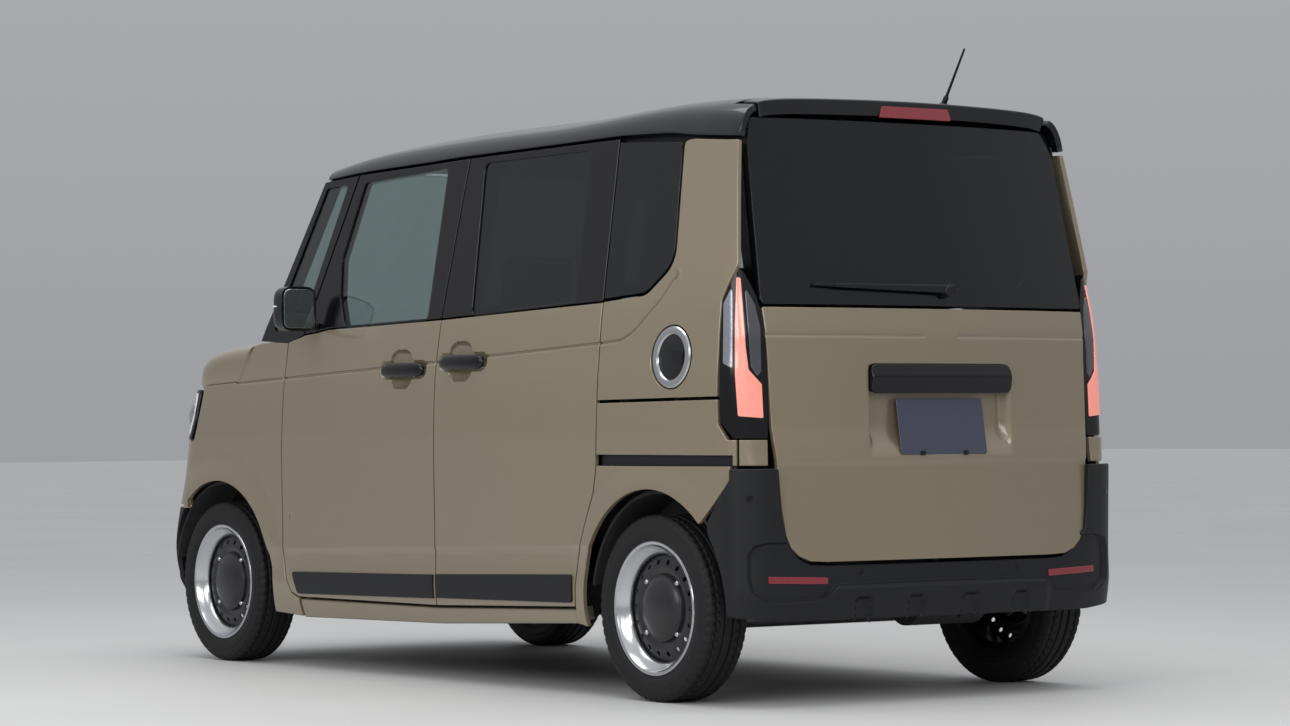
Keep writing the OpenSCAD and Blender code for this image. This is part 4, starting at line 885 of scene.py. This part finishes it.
bumper_half = [(0, 246), (run_at(600), 246)]
bumper_half += [(run_back(arch_edge(REAR_X, -1, z), z), z) for z in (262, 300, 340, 380, 420, 460, 500)]
bumper_half += [(run_back(REAR_X - 262, 526), 526), (run_back(REAR_X - 372, 652), 652),
    (run_back(REAR_X - 372, 684), 684), (run_at(604, 684), 684), (run_at(594, 560), 560),
    (run_at(584, 490), 490), (run_at(566, 451), 451), (run_at(537, 424), 424), (492, 407), (430, 404),
    (0, 404)]
bumper_loop = rounded(whole(bumper_half), 8)
panel("rear_bumper_skin", bumper_skin(bumper_out), bumper_loop, "black_plastic", "body", ("rear_bumper",),
    guides=[insert_path], depth=18, edge=4, step=12)
for side, label in SIDES:
    reflector = [(run_at(640), 357), (run_at(640), 377), (run_at(437), 370), (run_at(437), 350)]
    panel("reflector_" + label, bumper_skin(3 - INSERT_DEEP),
        rounded([(a * side, z) for a, z in reflector], 4), "reflector_red", "body", depth=6, edge=2,
        step=8)
    for at, z, name in ((306, 383, "sensor_inner_"), (run_at(690, 600), 600, "sensor_outer_")):
        sunk = 1.5 if z > 480 else 1.5 - INSERT_DEEP
        panel(name + label, bumper_skin(sunk), circle(11, 28, (side * at, z)), "gloss_black", "body",
            depth=5, edge=2, step=4)

# Tail lamps

# The lamps wrap round the corner: places on them are measured along a line slanted in plan
SLANT = math.radians(36.14)
LAMP_ACROSS = np.array([-math.sin(SLANT), -math.cos(SLANT)])
LAMP_INTO = np.array([math.cos(SLANT), -math.sin(SLANT)])
LAMP_SIDE_X = REAR_X - 317
LAMP_START = LAMP_ACROSS @ (LAMP_SIDE_X, float(side_y(np.array(LAMP_SIDE_X), np.array(1000.0))))
CORNER_SOFT = 12.0


def corner_skin(out=0.0):
    """Rear corner of the body: run across it along the slanted line, height."""
    def surface(u, z):
        near, far = np.full(np.shape(u), -1900.0), np.full(np.shape(u), -1500.0)
        for _ in range(34):
            depth = (near + far) / 2
            x = (LAMP_START + u) * LAMP_ACROSS[0] + depth * LAMP_INTO[0]
            y = (LAMP_START + u) * LAMP_ACROSS[1] + depth * LAMP_INTO[1]
            past_side, past_tail = y - side_y(x, z) - out, tail_x(y, z) - out - x
            top = np.maximum(past_side, past_tail)
            gap = CORNER_SOFT * np.log1p(np.exp(-np.abs(past_side - past_tail) / CORNER_SOFT))
            outside = top + gap > 0
            near, far = np.where(outside, depth, near), np.where(outside, far, depth)
        return np.stack([x, y, z + 0 * u], -1)
    return surface


LAMP_LOOP = [(46, 1268, 8), (6, 1190, 30), (0, 1050), (0, 820, 10), (38, 770, 10), (138, 770, 6),
    (139, 927), (137, 1080, 40), (108, 1180, 40), (74, 1246, 10)]
RED_LOOP = [(50, 1232, 3), (63, 1230, 3), (69, 1144), (76, 1031), (84, 967, 8), (122, 925, 6),
    (126, 828, 4), (51, 834, 6), (43, 955), (44, 1097)]
CLEAR_LOOP = [(39, 1212, 8), (12, 1156, 20), (9, 985, 6), (38, 968, 6)]
DARK_LOOP = [(74, 1208, 8), (104, 1154, 20), (119, 1088), (121, 962, 6), (110, 946, 6), (90, 975, 10),
    (81, 1097)]
LAMP_PIECES = {
    "lamp_bezel": (LAMP_LOOP, -5, 34, "gloss_black"),
    "lamp_guide": (RED_LOOP, -1.5, 8, "lamp_pink"),
    "lamp_side_lens": (CLEAR_LOOP, -2, 6, "lens_grey"),
    "lamp_inner_lens": (DARK_LOOP, -2.5, 6, "lens_dark")}
panel_pair("quarter_corner", corner_skin(0), [(54, 692), (138, 692), (137, 766), (54, 766)], "paint",
    BODY, depth=14, step=7)
for name, (loop, out, deep, look) in LAMP_PIECES.items():
    first = (("tail_lamps",), ()) if name == "lamp_bezel" else ((), ())
    panel_pair(name, corner_skin(out), rounded(loop, 0), look, BODY, first, depth=deep, edge=2.5, step=7)

# Fuel lid, handles, cladding, plate and garnish

lid_tilt = math.radians(4.3)
lid_axis = np.array([0, math.cos(lid_tilt), math.sin(lid_tilt)])
lid_at = np.array([LID_X, HALF_W - 6, LID_Z])
turned("lid_ring", [(64, -6), (66, -2), (69, 1), (78, 2.2), (87, 0.8), (90.5, -3), (91, -10), (60, -10)],
    lid_at, lid_axis, "lid_metal", "fuel_lid_body", ("fuel_lid",))
turned("lid_dish", [(0, 1.5), (38, 0.5), (56, -2), (63, -4.5), (65.5, -3.5), (66, -9), (0, -9)], lid_at,
    lid_axis, "black_plastic", "fuel_lid_body")
notch_up = np.cross(ALONG, lid_axis)
notch_skin = lambda a, b: lid_at + a[:, None] * np.array(ALONG) + b[:, None] * notch_up + lid_axis * 2.5
panel("lid_notch", notch_skin, block(-58, -8, -22, 22, 6), "gloss_black", "fuel_lid_body", depth=4,
    edge=1.5, step=6)
turned("filler_pocket", [(93, 2), (93, -46), (40, -48), (38, -34), (0, -32)], lid_at - lid_axis * 12,
    lid_axis, "black_plastic", "body")
for label, bodies, nodes in (("front", DOORS, (("door_trim_left",), ("door_trim_right",))),
        ("sliding", BODY, (("sliding_door_trim",), ()))):
    hx, hz = HANDLES[label]
    rings = []
    for t in np.linspace(-1, 1, 33):
        full = (1 - abs(t) ** 7) ** 0.5
        out = HALF_W - 1 - 5 * t * t
        rings.append(ring((hx + 124 * t, out, hz - 2), ACROSS, UP, 1 + 12 * full, 1 + 22 * full, 24, 2.6))
    loft("%s_handle_left" % label, rings, "gloss_black", bodies[0], nodes[0],
        mirror_to=(bodies[1], nodes[1]))
CLADDING = {
    "front": ([(MID_X - 92, 262), (FRONT_X - 514, 249, 16), (FRONT_X - 484, 322, 10), (MID_X - 93, 338)],
        DOORS),
    "sliding": ([(REAR_X + 402, 276, 14), (MID_X - 109, 264), (MID_X - 109, 340),
        (REAR_X + 398, 362, 12)], BODY)}
for label, (loop, bodies) in CLADDING.items():
    panel_pair(label + "_cladding", side_plain(6), rounded(loop, 2), "black_plastic", bodies, depth=7,
        edge=3, step=18)
garnish_out = curve([(880, 2), (897, 6), (948, 17), (985, 3), (1000, 0)], 3)
panel("garnish", lambda y, z: np.stack([tail_x(y, z) - garnish_out(z), y, z], -1),
    rounded([(-271, 897), (271, 897), (268, 985), (-268, 985)], 22), "gloss_black", GATE,
    ("handle_garnish",), depth=34, edge=5, step=9, guides=[[(-268, 948), (268, 948)]])
PLATE_TILT = math.radians(9)
plate_skin = lambda y, h: np.stack([TAIL_X + 0 * y + h * math.sin(PLATE_TILT), y,
    720 + h * math.cos(PLATE_TILT)], -1)
panel("plate_sheet", plate_skin, block(-165, 165, 0, 165, 9), "plate_metal", GATE, ("plate",), depth=3,
    edge=1.2, step=16)
for y in (-83, 83):
    clip = ring((TAIL_X - 2, y, 724), ACROSS, UP, 10, 7, 20, 3)
    back = clip + (9, 0, 0)
    loft("plate_clip_%s" % ("a" if y < 0 else "b"),
        [ring((TAIL_X - 4, y, 724), ACROSS, UP, 7, 4, 20, 3), clip, back], "gloss_black", GATE)

# Wheels and tyres

TYRE_HALF = 77.5
TREAD_GROOVES = (-44, -15, 15, 44)
crown_rows = [(TYRE_R - 24 + 24 * math.sin(a), TYRE_HALF - 26 + 24 * math.cos(a))
    for a in np.radians(np.linspace(0, 78, 10))]
tread = []
for y in np.linspace(50, -50, 43):
    dip = max(math.exp(-(((y - g) / 3.2) ** 4)) for g in TREAD_GROOVES)
    tread.append((TYRE_R - 0.4 - 7.5 * dip, y))
side_rows = [(180, 55), (186, 62), (194, 68), (200, 71.5), (204, 71), (206, 73), (216, 76), (228, 77.3),
    (238, 77), (239.5, 76), (242, 76.8), (247, 76.4)]
outer_rows = side_rows + crown_rows
tyre_rows = outer_rows + tread + [(r, -y) for r, y in outer_rows[::-1]]
TREAD_PITCH = 60


def tread_cuts(r, h, angle):
    """Cross cuts of the tread, slanted, from the shoulders inwards."""
    phase = (angle * TREAD_PITCH / (2 * math.pi) + np.abs(h) / 70 * np.sign(h)) % 1
    cut = np.exp(-(((phase - 0.5) / 0.09) ** 4))
    on_tread = ease((r - TYRE_R + 22) / 10) * ease((np.abs(h) - 20) / 6)
    return -5.5 * cut * on_tread


RIM = [(181, 50), (190, 60), (196, 66), (197.5, 69), (196, 71.5), (192, 72), (187, 70), (183, 64),
    (178, 58), (170, 52), (163, 46), (160, 42), (158, 34)]
HUB_CAP = [(0, 63), (14, 62.6), (40, 60.5), (64, 56.5), (82, 50), (90, 45), (92, 43.5), (94, 44.5),
    (97, 44), (99, 41), (100, 34)]
DISC = curve([(90, 33), (104, 35), (118, 40), (132, 38), (148, 31), (162, 26), (172, 24)], 4)
BARREL = [(158, 34), (160, 0), (164, -40), (176, -58), (190, -66), (196, -68), (194, -72), (172, -64),
    (152, -40), (150, 20)]
HOLES, HOLE_R, HOLE_RING = 18, 7.5, 136
NUT_RING, NUT_OUT = 105, 36
NUT = [(0, 9), (5, 9), (7.5, 6), (8.5, 0), (8.5, -3)]
disc_holes = [[(HOLE_RING * math.cos(b) + u, HOLE_RING * math.sin(b) + v) for u, v in circle(HOLE_R, 18)]
    for b in np.linspace(0, 2 * math.pi, HOLES, False)]
for end, axle in (("front", FRONT_X), ("rear", REAR_X)):
    for side, label in SIDES:
        body = "%s_%s_wheel" % (end, label)
        name = "%s_%s" % (end, label)
        hub = np.array([axle, side * WHEEL_Y, HUB_Z])
        axis = np.array([0, side, 0])
        turned("tread_" + name, tyre_rows, hub, axis, "tyre_rubber", body, ("tyre_" + name,), n=240,
            sharp=50, ripple=tread_cuts)
        turned("rim_" + name, RIM, hub, axis, "lid_metal", body, ("wheel_" + name,))
        turned("hub_cap_" + name, HUB_CAP, hub, axis, "wheel_black", body)
        turned("barrel_" + name, BARREL, hub, axis, "wheel_black", body)
        face = lambda u, v: hub + np.stack([u, side * DISC(np.hypot(u, v)), v], -1)
        panel("disc_" + name, face, circle(164), "wheel_black", body, holes=[circle(92)] + disc_holes,
            depth=6, edge=1.5, step=11)
        for k in range(4):
            b = math.radians(45 + 90 * k)
            nut = hub + np.array([NUT_RING * math.cos(b), side * NUT_OUT, NUT_RING * math.sin(b)])
            turned("nut_%s_%d" % (name, k), NUT, nut, axis, "lid_metal", body, n=18)

# Nose, headlamps and bonnet


def nose_skin(out=0.0):
    return bumper_skin(out, nose_ends, nose_angle)


def nose_at(y, z):
    return run_at(y, z, nose_ends, nose_angle, NOSE_RUN)


def nose_back(x, z):
    return run_back(x, z, nose_ends, nose_angle, NOSE_RUN, -1)


NOSE_LOW = 531
FENDER_END = NOSE_X - 198
LENS_R = 39
lamp_low, lamp_high = 762, 938
lamp_loop = [(nose_at(445, 850), lamp_low, 60), (nose_back(FRONT_X + 196, 770), lamp_low, 40),
    (nose_back(FRONT_X + 158, 830), 826, 40), (nose_back(FRONT_X + 126, 930), 926, 16),
    (nose_back(FRONT_X + 136, 935), lamp_high, 10), (nose_at(445, 850), lamp_high, 70)]
nose_top = [(nose_at(y, 940), 941 - 3 * (y / 700) ** 2) for y in (0, 200, 400, 560, 640)]
nose_half = [(0, NOSE_LOW + 4)] + [(nose_at(y, NOSE_LOW), NOSE_LOW + 4) for y in (300, 500, 600, 660)]
nose_half += [(nose_back(FENDER_END + 4, z), z) for z in (NOSE_LOW + 4, 600, 680, 750, 800)]
nose_half += [(nose_back(FENDER_END + 4, 935), 936)] + nose_top[::-1]
grille_loop = block(-400, 400, 772, 888, 26)
lamp_left = rounded(lamp_loop, 0)
lamp_right = [(-a, z) for a, z in lamp_left]
panel("nose_skin", nose_skin(), rounded(whole(nose_half), 4), "paint", "body", ("nose_panel",),
    holes=[grille_loop], depth=16, step=16)
for label, loop in (("left", lamp_left), ("right", lamp_right)):
    first = ("headlamps",) if label == "left" else ()
    panel("headlamp_bezel_" + label, nose_skin(2.5), loop, "gloss_black", "body", first, depth=20, edge=4,
        step=9)
    mid = np.mean(np.array(loop), 0)
    guide, core = ([(mid[0] + (a - mid[0]) * wide, mid[1] + (z - mid[1]) * high) for a, z in loop]
        for wide, high in ((0.86, 0.84), (0.72, 0.66)))
    panel("headlamp_guide_" + label, nose_skin(4), guide, "lamp_white", "body", holes=[core], depth=5,
        edge=2, step=7)
    for k, reach in enumerate((-62, 62)):
        at = mid[0] + reach, mid[1]
        left = lambda r, z: np.clip(1 - ((r - at[0]) ** 2 + (z - at[1]) ** 2) / LENS_R ** 2, 0, 1)
        bulge = lambda r, z: 3 + 9 * np.sqrt(left(r, z))
        panel("headlamp_lens_%s_%d" % (label, k), nose_skin(bulge), circle(37, 40, at), "lens_grey",
            "body", depth=6, edge=1.5, step=5)
grille_rows = [(k * 44 + (22 if j else 0), 808 + 44 * j) for k in range(-8, 9) for j in (0, 1)
    if abs(k * 44 + 22 * j) < 372]
grille_dots = [circle(12, 20, at) for at in grille_rows]
panel("grille_face", nose_skin(-12), block(-398, 398, 774, 886, 24), "gloss_black", "body", ("grille",),
    holes=grille_dots, depth=14, edge=2, step=10)
panel("grille_back", nose_skin(-30), block(-395, 395, 776, 884, 24), "black_plastic", "body", depth=3,
    step=24)


def lower_out(run, z):
    """Relief of the front bumper: sunk fog-lamp corners and a chin."""
    sink = 16 * ease(-in_round_box(np.abs(run) - 560, z - 395, 200, 120, 40) / 14)
    return 6 * ease((300 - z) / 30) - sink


front_half = [(0, 196)] + [(nose_at(y, 300), 196) for y in (300, 500)]
front_half += [(nose_back(arch_edge(FRONT_X, 1, z), z), z)
    for z in (215, 250, 290, 330, 370, 410, 450, 490)]
front_half += [(nose_back(arch_edge(FRONT_X, 1, 525), 525), NOSE_LOW - 4), (0, NOSE_LOW - 4)]
intake = block(-328, 328, 302, 428, 32)
panel("front_bumper_skin", nose_skin(lower_out), rounded(whole(front_half), 6), "black_plastic", "body",
    ("front_bumper",), holes=[intake], depth=18, edge=4, step=12)
for k, z in enumerate((330, 365, 400)):
    panel("intake_bar_%d" % k, nose_skin(-26), block(-335, 335, z - 8, z + 8, 5), "black_plastic", "body",
        depth=16, edge=3, step=14)
for side, label in SIDES:
    panel("fog_lamp_" + label, nose_skin(-13), circle(36, 40, (side * 560, 395)), "lens_grey", "body",
        depth=6, edge=3, step=6)

BONNET_END, BONNET_TOP, BONNET_LOW = NOSE_X - 112, 1100, 972
bonnet_side = lambda x: side_y(x, np.full(np.shape(x), 955.0)) - 1


def bonnet_skin(u, v):
    """Bonnet: share of its length in 0.1 %, share of its half width in 0.1 %."""
    u, v = np.clip(u / 1000, 0, 1), np.clip(v / 1000, -1, 1)
    low = BONNET_LOW - 22 * u
    top = low + (BONNET_TOP - low) * np.sqrt(np.clip(1 - u ** 3, 0, 1))
    square = 9 - 5.5 * u
    rise = np.clip(1 - np.abs(v) ** square, 0, 1) ** (1 / square)
    back = FRONT_X - 110 - 62 * v ** 2 - 46 * v ** 8 + 85 * (1 - rise)
    x = back + (BONNET_END - back) * u
    y = v * bonnet_side(FRONT_X - 110 + (BONNET_END - FRONT_X + 110) * u)
    z = low + (top - low) * rise
    return np.stack([x, y, z], -1)


share = np.concatenate([np.linspace(0, 0.8, 20), 1 - 0.2 * np.linspace(1, 0, 24)[1:] ** 2.2])
across = np.concatenate([-share[:0:-1], share])
grid = bonnet_skin(*[a.ravel() * 1000 for a in np.meshgrid(share * 0.995, across)])
rows, cols = len(across), len(share)
under = grid * (1, 0.985, 1) - (0, 0, 14)
verts = np.concatenate([grid, under])
quads = [[r * cols + c, (r + 1) * cols + c, (r + 1) * cols + c + 1, r * cols + c + 1][::-1]
    for r in range(rows - 1) for c in range(cols - 1)]
count = rows * cols
edge = list(range(cols)) + [r * cols + cols - 1 for r in range(1, rows)]
edge += [(rows - 1) * cols + c for c in range(cols - 2, -1, -1)]
edge += [r * cols for r in range(rows - 2, 0, -1)]
skirt = [[a, a + count, b + count, b] for a, b in zip(edge, edge[1:] + edge[:1])]
a, b, c = (verts[quads[len(quads) // 2][i]] for i in (0, 1, 2))
if np.cross(b - a, c - a)[2] < 0:
    quads = [q[::-1] for q in quads]
ea, eb = verts[skirt[0][0]], verts[skirt[0][3]]
if np.cross(verts[skirt[0][1]] - ea, eb - ea) @ (ea - grid.mean(0)) < 0:
    skirt = [q[::-1] for q in skirt]
make("bonnet_skin", verts, quads + [[i + count for i in q[::-1]] for q in quads] + skirt, "paint",
    "bonnet_body", ("bonnet",), sharp=50)
for side, label in SIDES:
    arm = [ring((FRONT_X - 222 + d, side * 560, 1070 - 26 * d / 150), ACROSS, UP, 15, 7, 16, 4)
        for d in (-9, 20, 60, 100, 140)]
    loft("bonnet_hinge_" + label, arm, "steel", "bonnet_body")

# Mirrors, wiper and aerial

MIRROR_AT = np.array([FRONT_X - 630, HALF_W + 76, 1198])
for side, label, body in ((1, "left", DOORS[0]), (-1, "right", DOORS[1])):
    flip = np.array([1, side, 1])
    rings = []
    for t in np.linspace(0, 1, 15):
        size = (1 - t ** 6) ** (1 / 2.6) if t < 1 else 0.02
        at = MIRROR_AT + (-39 + 84 * t, -3 * t, 0)
        rings.append(ring(at * flip, (0, side, 0), UP, 67 * max(size, 0.3), 74 * max(size, 0.3), 40, 4.2))
    rim = [ring((MIRROR_AT + (-36, 0, 0)) * flip, (0, side, 0), UP, 60, 67, 40, 4.4),
        ring((MIRROR_AT + (-39, 0, 0)) * flip, (0, side, 0), UP, 63, 70, 40, 4.4)]
    loft("mirror_shell_" + label, rim + rings, "gloss_black", body, ("mirror_" + label,))
    glass = lambda a, b: np.stack([MIRROR_AT[0] - 38 + 0 * a, side * (MIRROR_AT[1] + a),
        MIRROR_AT[2] + b], -1)
    panel("mirror_glass_" + label, glass, block(-57, 57, -64, 64, 26), "mirror_glass", body, depth=2,
        edge=1, step=16)
    strip = [ring((MIRROR_AT + (d, 62 - 0.004 * (d + 4) ** 2, 8)) * flip, (0, side, 0), UP, 4, 4, 12)
        for d in np.linspace(-30, 26, 9)]
    loft("mirror_strip_" + label, strip, "lamp_white", body)
    foot = [ring((FRONT_X - 615, side * (HALF_W - 17 + d), 1142 + 14 * (d / 70) ** 2), ALONG, UP,
        28 - 6 * (d / 70), 12, 24, 3) for d in np.linspace(0, 84, 9)]
    loft("mirror_foot_" + label, foot, "gloss_black", body)

WIPER_Y, WIPER_Z, WIPER_TIP = -30, 1200, 440
wiper_x = lambda y, z, off: float(tail_x(np.array(float(y)), np.array(float(z)))) - off
arm = []
for t in np.linspace(0, 1, 24):
    y, z = WIPER_Y - 22 + (WIPER_TIP - 60 - WIPER_Y + 22) * t, WIPER_Z + 5 + 6 * t
    off = 19 - 3 * t
    arm.append(ring((wiper_x(y, z, off), y, z), ALONG, UP, 6.5 - 3 * t, 13 - 7.5 * t, 16, 3))
loft("wiper_arm", arm, "black_plastic", GATE, ("rear_wiper",))
blade = []
for t in np.linspace(0, 1, 20):
    y, z = 130 + (WIPER_TIP + 5 - 130) * t, WIPER_Z + 1 + 12 * t
    blade.append(ring((wiper_x(y, z, 9), y, z), ALONG, UP, 8, 4.5, 12, 2.5))
loft("wiper_blade", blade, "black_plastic", GATE)
turned("wiper_cap", [(0, 15), (12, 14), (17, 9), (18, 0), (18, -12)],
    (wiper_x(WIPER_Y, WIPER_Z, 14), WIPER_Y, WIPER_Z), (-1, 0, 0.1), "black_plastic", GATE, n=40)
aerial_foot = roof_skin(np.array(REAR_X - 130.0), np.array(-286.0)) + (0, 0, 2)
lean = np.array([-0.52, 0, 0.854])
lean /= np.linalg.norm(lean)
sideways = np.cross(lean, ACROSS)
mast = [ring(aerial_foot + lean * d, sideways, ACROSS, r, r, 16)
    for d, r in ((4, 9), (30, 8.2), (36, 6.5), (38, 4.6), (60, 4.2), (185, 3.4), (196, 3.2), (199, 2))]
loft("aerial_mast", mast, "black_plastic", "body", ("aerial",))
base = [ring(aerial_foot + (d * -0.2, 0, d), ALONG, ACROSS, r * 1.25, r, 32)
    for d, r in ((-5, 17), (0, 16), (5, 13.5), (10, 10), (13, 6))]
loft("aerial_base", base, "black_plastic", "body")

# Seats

PAD_POWER, CHANNEL_DEEP = 5, 9


def cushion(name, centre, tilt, halves, crown, channels, replaces=(), n=15):
    """Stuffed pad: a rounded block crowned on its +Z face, sides pulled in, with sewn channels."""
    t = np.linspace(-1, 1, n)
    a, b = (g.ravel() for g in np.meshgrid(t, t))
    points, faces, known = [], [], {}
    for axis in range(3):
        for sign in (-1, 1):
            face = np.empty((n * n, 3))
            face[:, axis], face[:, (axis + 1) % 3], face[:, (axis + 2) % 3] = sign, a, b
            index = []
            for p in face:
                key = tuple(np.round(p, 6))
                if key not in known:
                    known[key] = len(points)
                    points.append(p)
                index.append(known[key])
            for r in range(n - 1):
                for c in range(n - 1):
                    quad = [index[r * n + c], index[r * n + c + 1], index[(r + 1) * n + c + 1],
                        index[(r + 1) * n + c]]
                    faces.append(quad if sign > 0 else quad[::-1])
    q = np.array(points)
    u, v, w = q.T
    p = q / (np.abs(q) ** PAD_POWER).sum(1)[:, None] ** (1 / PAD_POWER) * halves
    full = (1 - u ** 2) * (1 - v ** 2)
    p[:, 2] += crown * full * (np.clip(w, -0.25, 1) + 0.25)
    p[:, 0] *= 1 - 0.035 * (1 - v ** 2) * np.abs(u)
    p[:, 1] *= 1 - 0.03 * (1 - u ** 2) * np.abs(v)
    for at in channels:
        sewn = CHANNEL_DEEP * np.exp(-(((v - at) / 0.06) ** 2))
        p[:, 2] -= sewn * ease((w - 0.6) / 0.3) * ease((0.97 - np.abs(u)) / 0.1)
    stitch = np.exp(-(((w - 0.62) / 0.09) ** 2)) * (np.maximum(np.abs(u), np.abs(v)) > 0.98)
    p *= 1 - 0.02 * stitch[:, None]
    c, s = math.cos(math.radians(tilt)), math.sin(math.radians(tilt))
    turn = np.array([[c, 0, s], [0, 1, 0], [-s, 0, c]])
    piece = make(name, p @ turn.T + centre, faces, "seat_cloth", "body", replaces, sharp=80)
    piece.modifiers.new("soft", "SUBSURF").levels = 1
    return piece


# A cushion's +Z face is the one that is sat on or leant against
for side, label in SIDES:
    at = FRONT_X - 1030
    nodes = ("front_seats",) if side > 0 else ()
    cushion("front_cushion_" + label, (at - 5, side * 300, 505), -4, (262, 246, 92), 20, (-0.58, 0.58),
        nodes)
    cushion("front_back_" + label, (at - 252, side * 300, 900), 85, (315, 238, 56), 22, (-0.56, 0.56))
    cushion("front_headrest_" + label, (at - 283, side * 300, 1278), 86, (80, 126, 46), 10, (), (),
        11)
    nodes = ("rear_seat",) if side > 0 else ()
    cushion("rear_cushion_" + label, (REAR_X + 395, side * 264, 500), -4, (258, 258, 88), 18, (-0.5, 0.5),
        nodes)
    cushion("rear_back_" + label, (REAR_X + 150, side * 264, 872), 85, (285, 256, 54), 20, (-0.5, 0.5))
    cushion("rear_headrest_" + label, (REAR_X + 117, side * 300, 1206), 86, (78, 122, 44), 10, (), (),
        11)
    for name, x, y, half_x, half_y in (("front", at, 300, 200, 190),
            ("rear", REAR_X + 410, 264, 150, 236)):
        rings = [ring((x, side * y, z), ALONG, ACROSS, half_x - g, half_y - g, 32, 6)
            for z, g in ((330, 0), (336, -3), (345, 4), (395, 12), (425, 2), (432, 8))]
        loft("%s_seat_base_%s" % (name, label), rings, "cabin_plastic", "body")

# Trim inside the doors
for label, lower, bodies in (("front_door", door_lower, DOORS), ("sliding_door", slide_lower, BODY)):
    panel_pair(label + "_card", side_plain(-48), inset(lower, 30), "cabin_plastic", bodies, depth=14,
        edge=6, step=30)

# CAD nodes kept as they are
KEPT = {
    "underbody": ["floor_pan", "wheel_houses", "exhaust", "fuel_tank"],
    "gloss_black": ["pillars"],
    "black_plastic": ["cowl"],
    "clear_glass": ["windscreen"],
    "cabin_plastic": ["dashboard", "steering_wheel"],
    "steel": ["engine", "front_suspension", "rear_axle", "knuckle_left", "knuckle_right"]}
for slot, names in KEPT.items():
    for name in names:
        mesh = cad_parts[name].data
        mesh.materials.clear()
        mesh.materials.append(FINISH[slot])

# Camera, floor and light

CAMERA_AT = Vector((-10.1291, 7.2470, 0.8282))
YAW, PITCH, ROLL = (math.radians(a) for a in (-36.142, 0.846, -0.31))
LENS = 105.33
ahead = Vector((math.cos(YAW) * math.cos(PITCH), math.sin(YAW) * math.cos(PITCH), math.sin(PITCH)))
right = Vector((math.sin(YAW), -math.cos(YAW), 0))
up = right.cross(ahead)
right, up = math.cos(ROLL) * right + math.sin(ROLL) * up, math.cos(ROLL) * up - math.sin(ROLL) * right
camera = bpy.data.objects.new("camera", bpy.data.cameras.new("camera"))
camera.data.lens = LENS
camera.data.clip_end = 200
camera.matrix_world = Matrix(((right.x, up.x, -ahead.x, CAMERA_AT.x),
    (right.y, up.y, -ahead.y, CAMERA_AT.y), (right.z, up.z, -ahead.z, CAMERA_AT.z), (0, 0, 0, 1)))
bpy.context.collection.objects.link(camera)
bpy.context.scene.camera = camera

FLOOR_HALF = 60
ground = bpy.data.meshes.new("floor")
ground.from_pydata([(x * FLOOR_HALF, y * FLOOR_HALF, 0) for x, y in ((-1, -1), (1, -1), (1, 1), (-1, 1))],
    [], [(0, 1, 2, 3)])
ground.materials.append(finish("floor", (0.56, 0.56, 0.555), 0.6, (0.8, 0.03), (40, 0.02)))
floor = bpy.data.objects.new("floor", ground)
bpy.context.collection.objects.link(floor)

world = bpy.data.worlds.new("studio")
world.use_nodes = True
# Brighter overhead than at the horizon
sky_nodes, sky_links = world.node_tree.nodes, world.node_tree.links
toward, parts, sky = (sky_nodes.new("ShaderNode" + kind)
    for kind in ("TexCoord", "SeparateXYZ", "ValToRGB"))
sky.color_ramp.elements[0].color = (0.34, 0.345, 0.36, 1)
sky.color_ramp.elements[1].color = (0.85, 0.86, 0.88, 1)
sky_links.new(toward.outputs["Generated"], parts.inputs[0])
sky_links.new(parts.outputs["Z"], sky.inputs["Fac"])
sky_links.new(sky.outputs["Color"], sky_nodes["Background"].inputs["Color"])
bpy.context.scene.world = world

# Soft lamps: name, place, point aimed at, size, power
LAMPS = [
    ("top", (-0.5, 0.5, 5.5), (0, 0, 0), (6, 4), 160),
    ("left", (-3.0, 6.5, 3.2), (0, 0, 0.7), (5, 2.5), 150),
    ("tail", (-7.5, 3.2, 3.2), (-1.7, 0, 0.8), (3, 2), 80)]
for name, place, aim, size, power in LAMPS:
    light = bpy.data.lights.new(name, "AREA")
    light.shape = "RECTANGLE"
    light.size, light.size_y = size
    light.energy = power
    lamp = bpy.data.objects.new(name, light)
    lamp.location = place
    lamp.rotation_euler = (Vector(aim) - Vector(place)).to_track_quat("-Z", "Y").to_euler()
    bpy.context.collection.objects.link(lamp)

bpy.context.scene.view_settings.view_transform = "Standard"
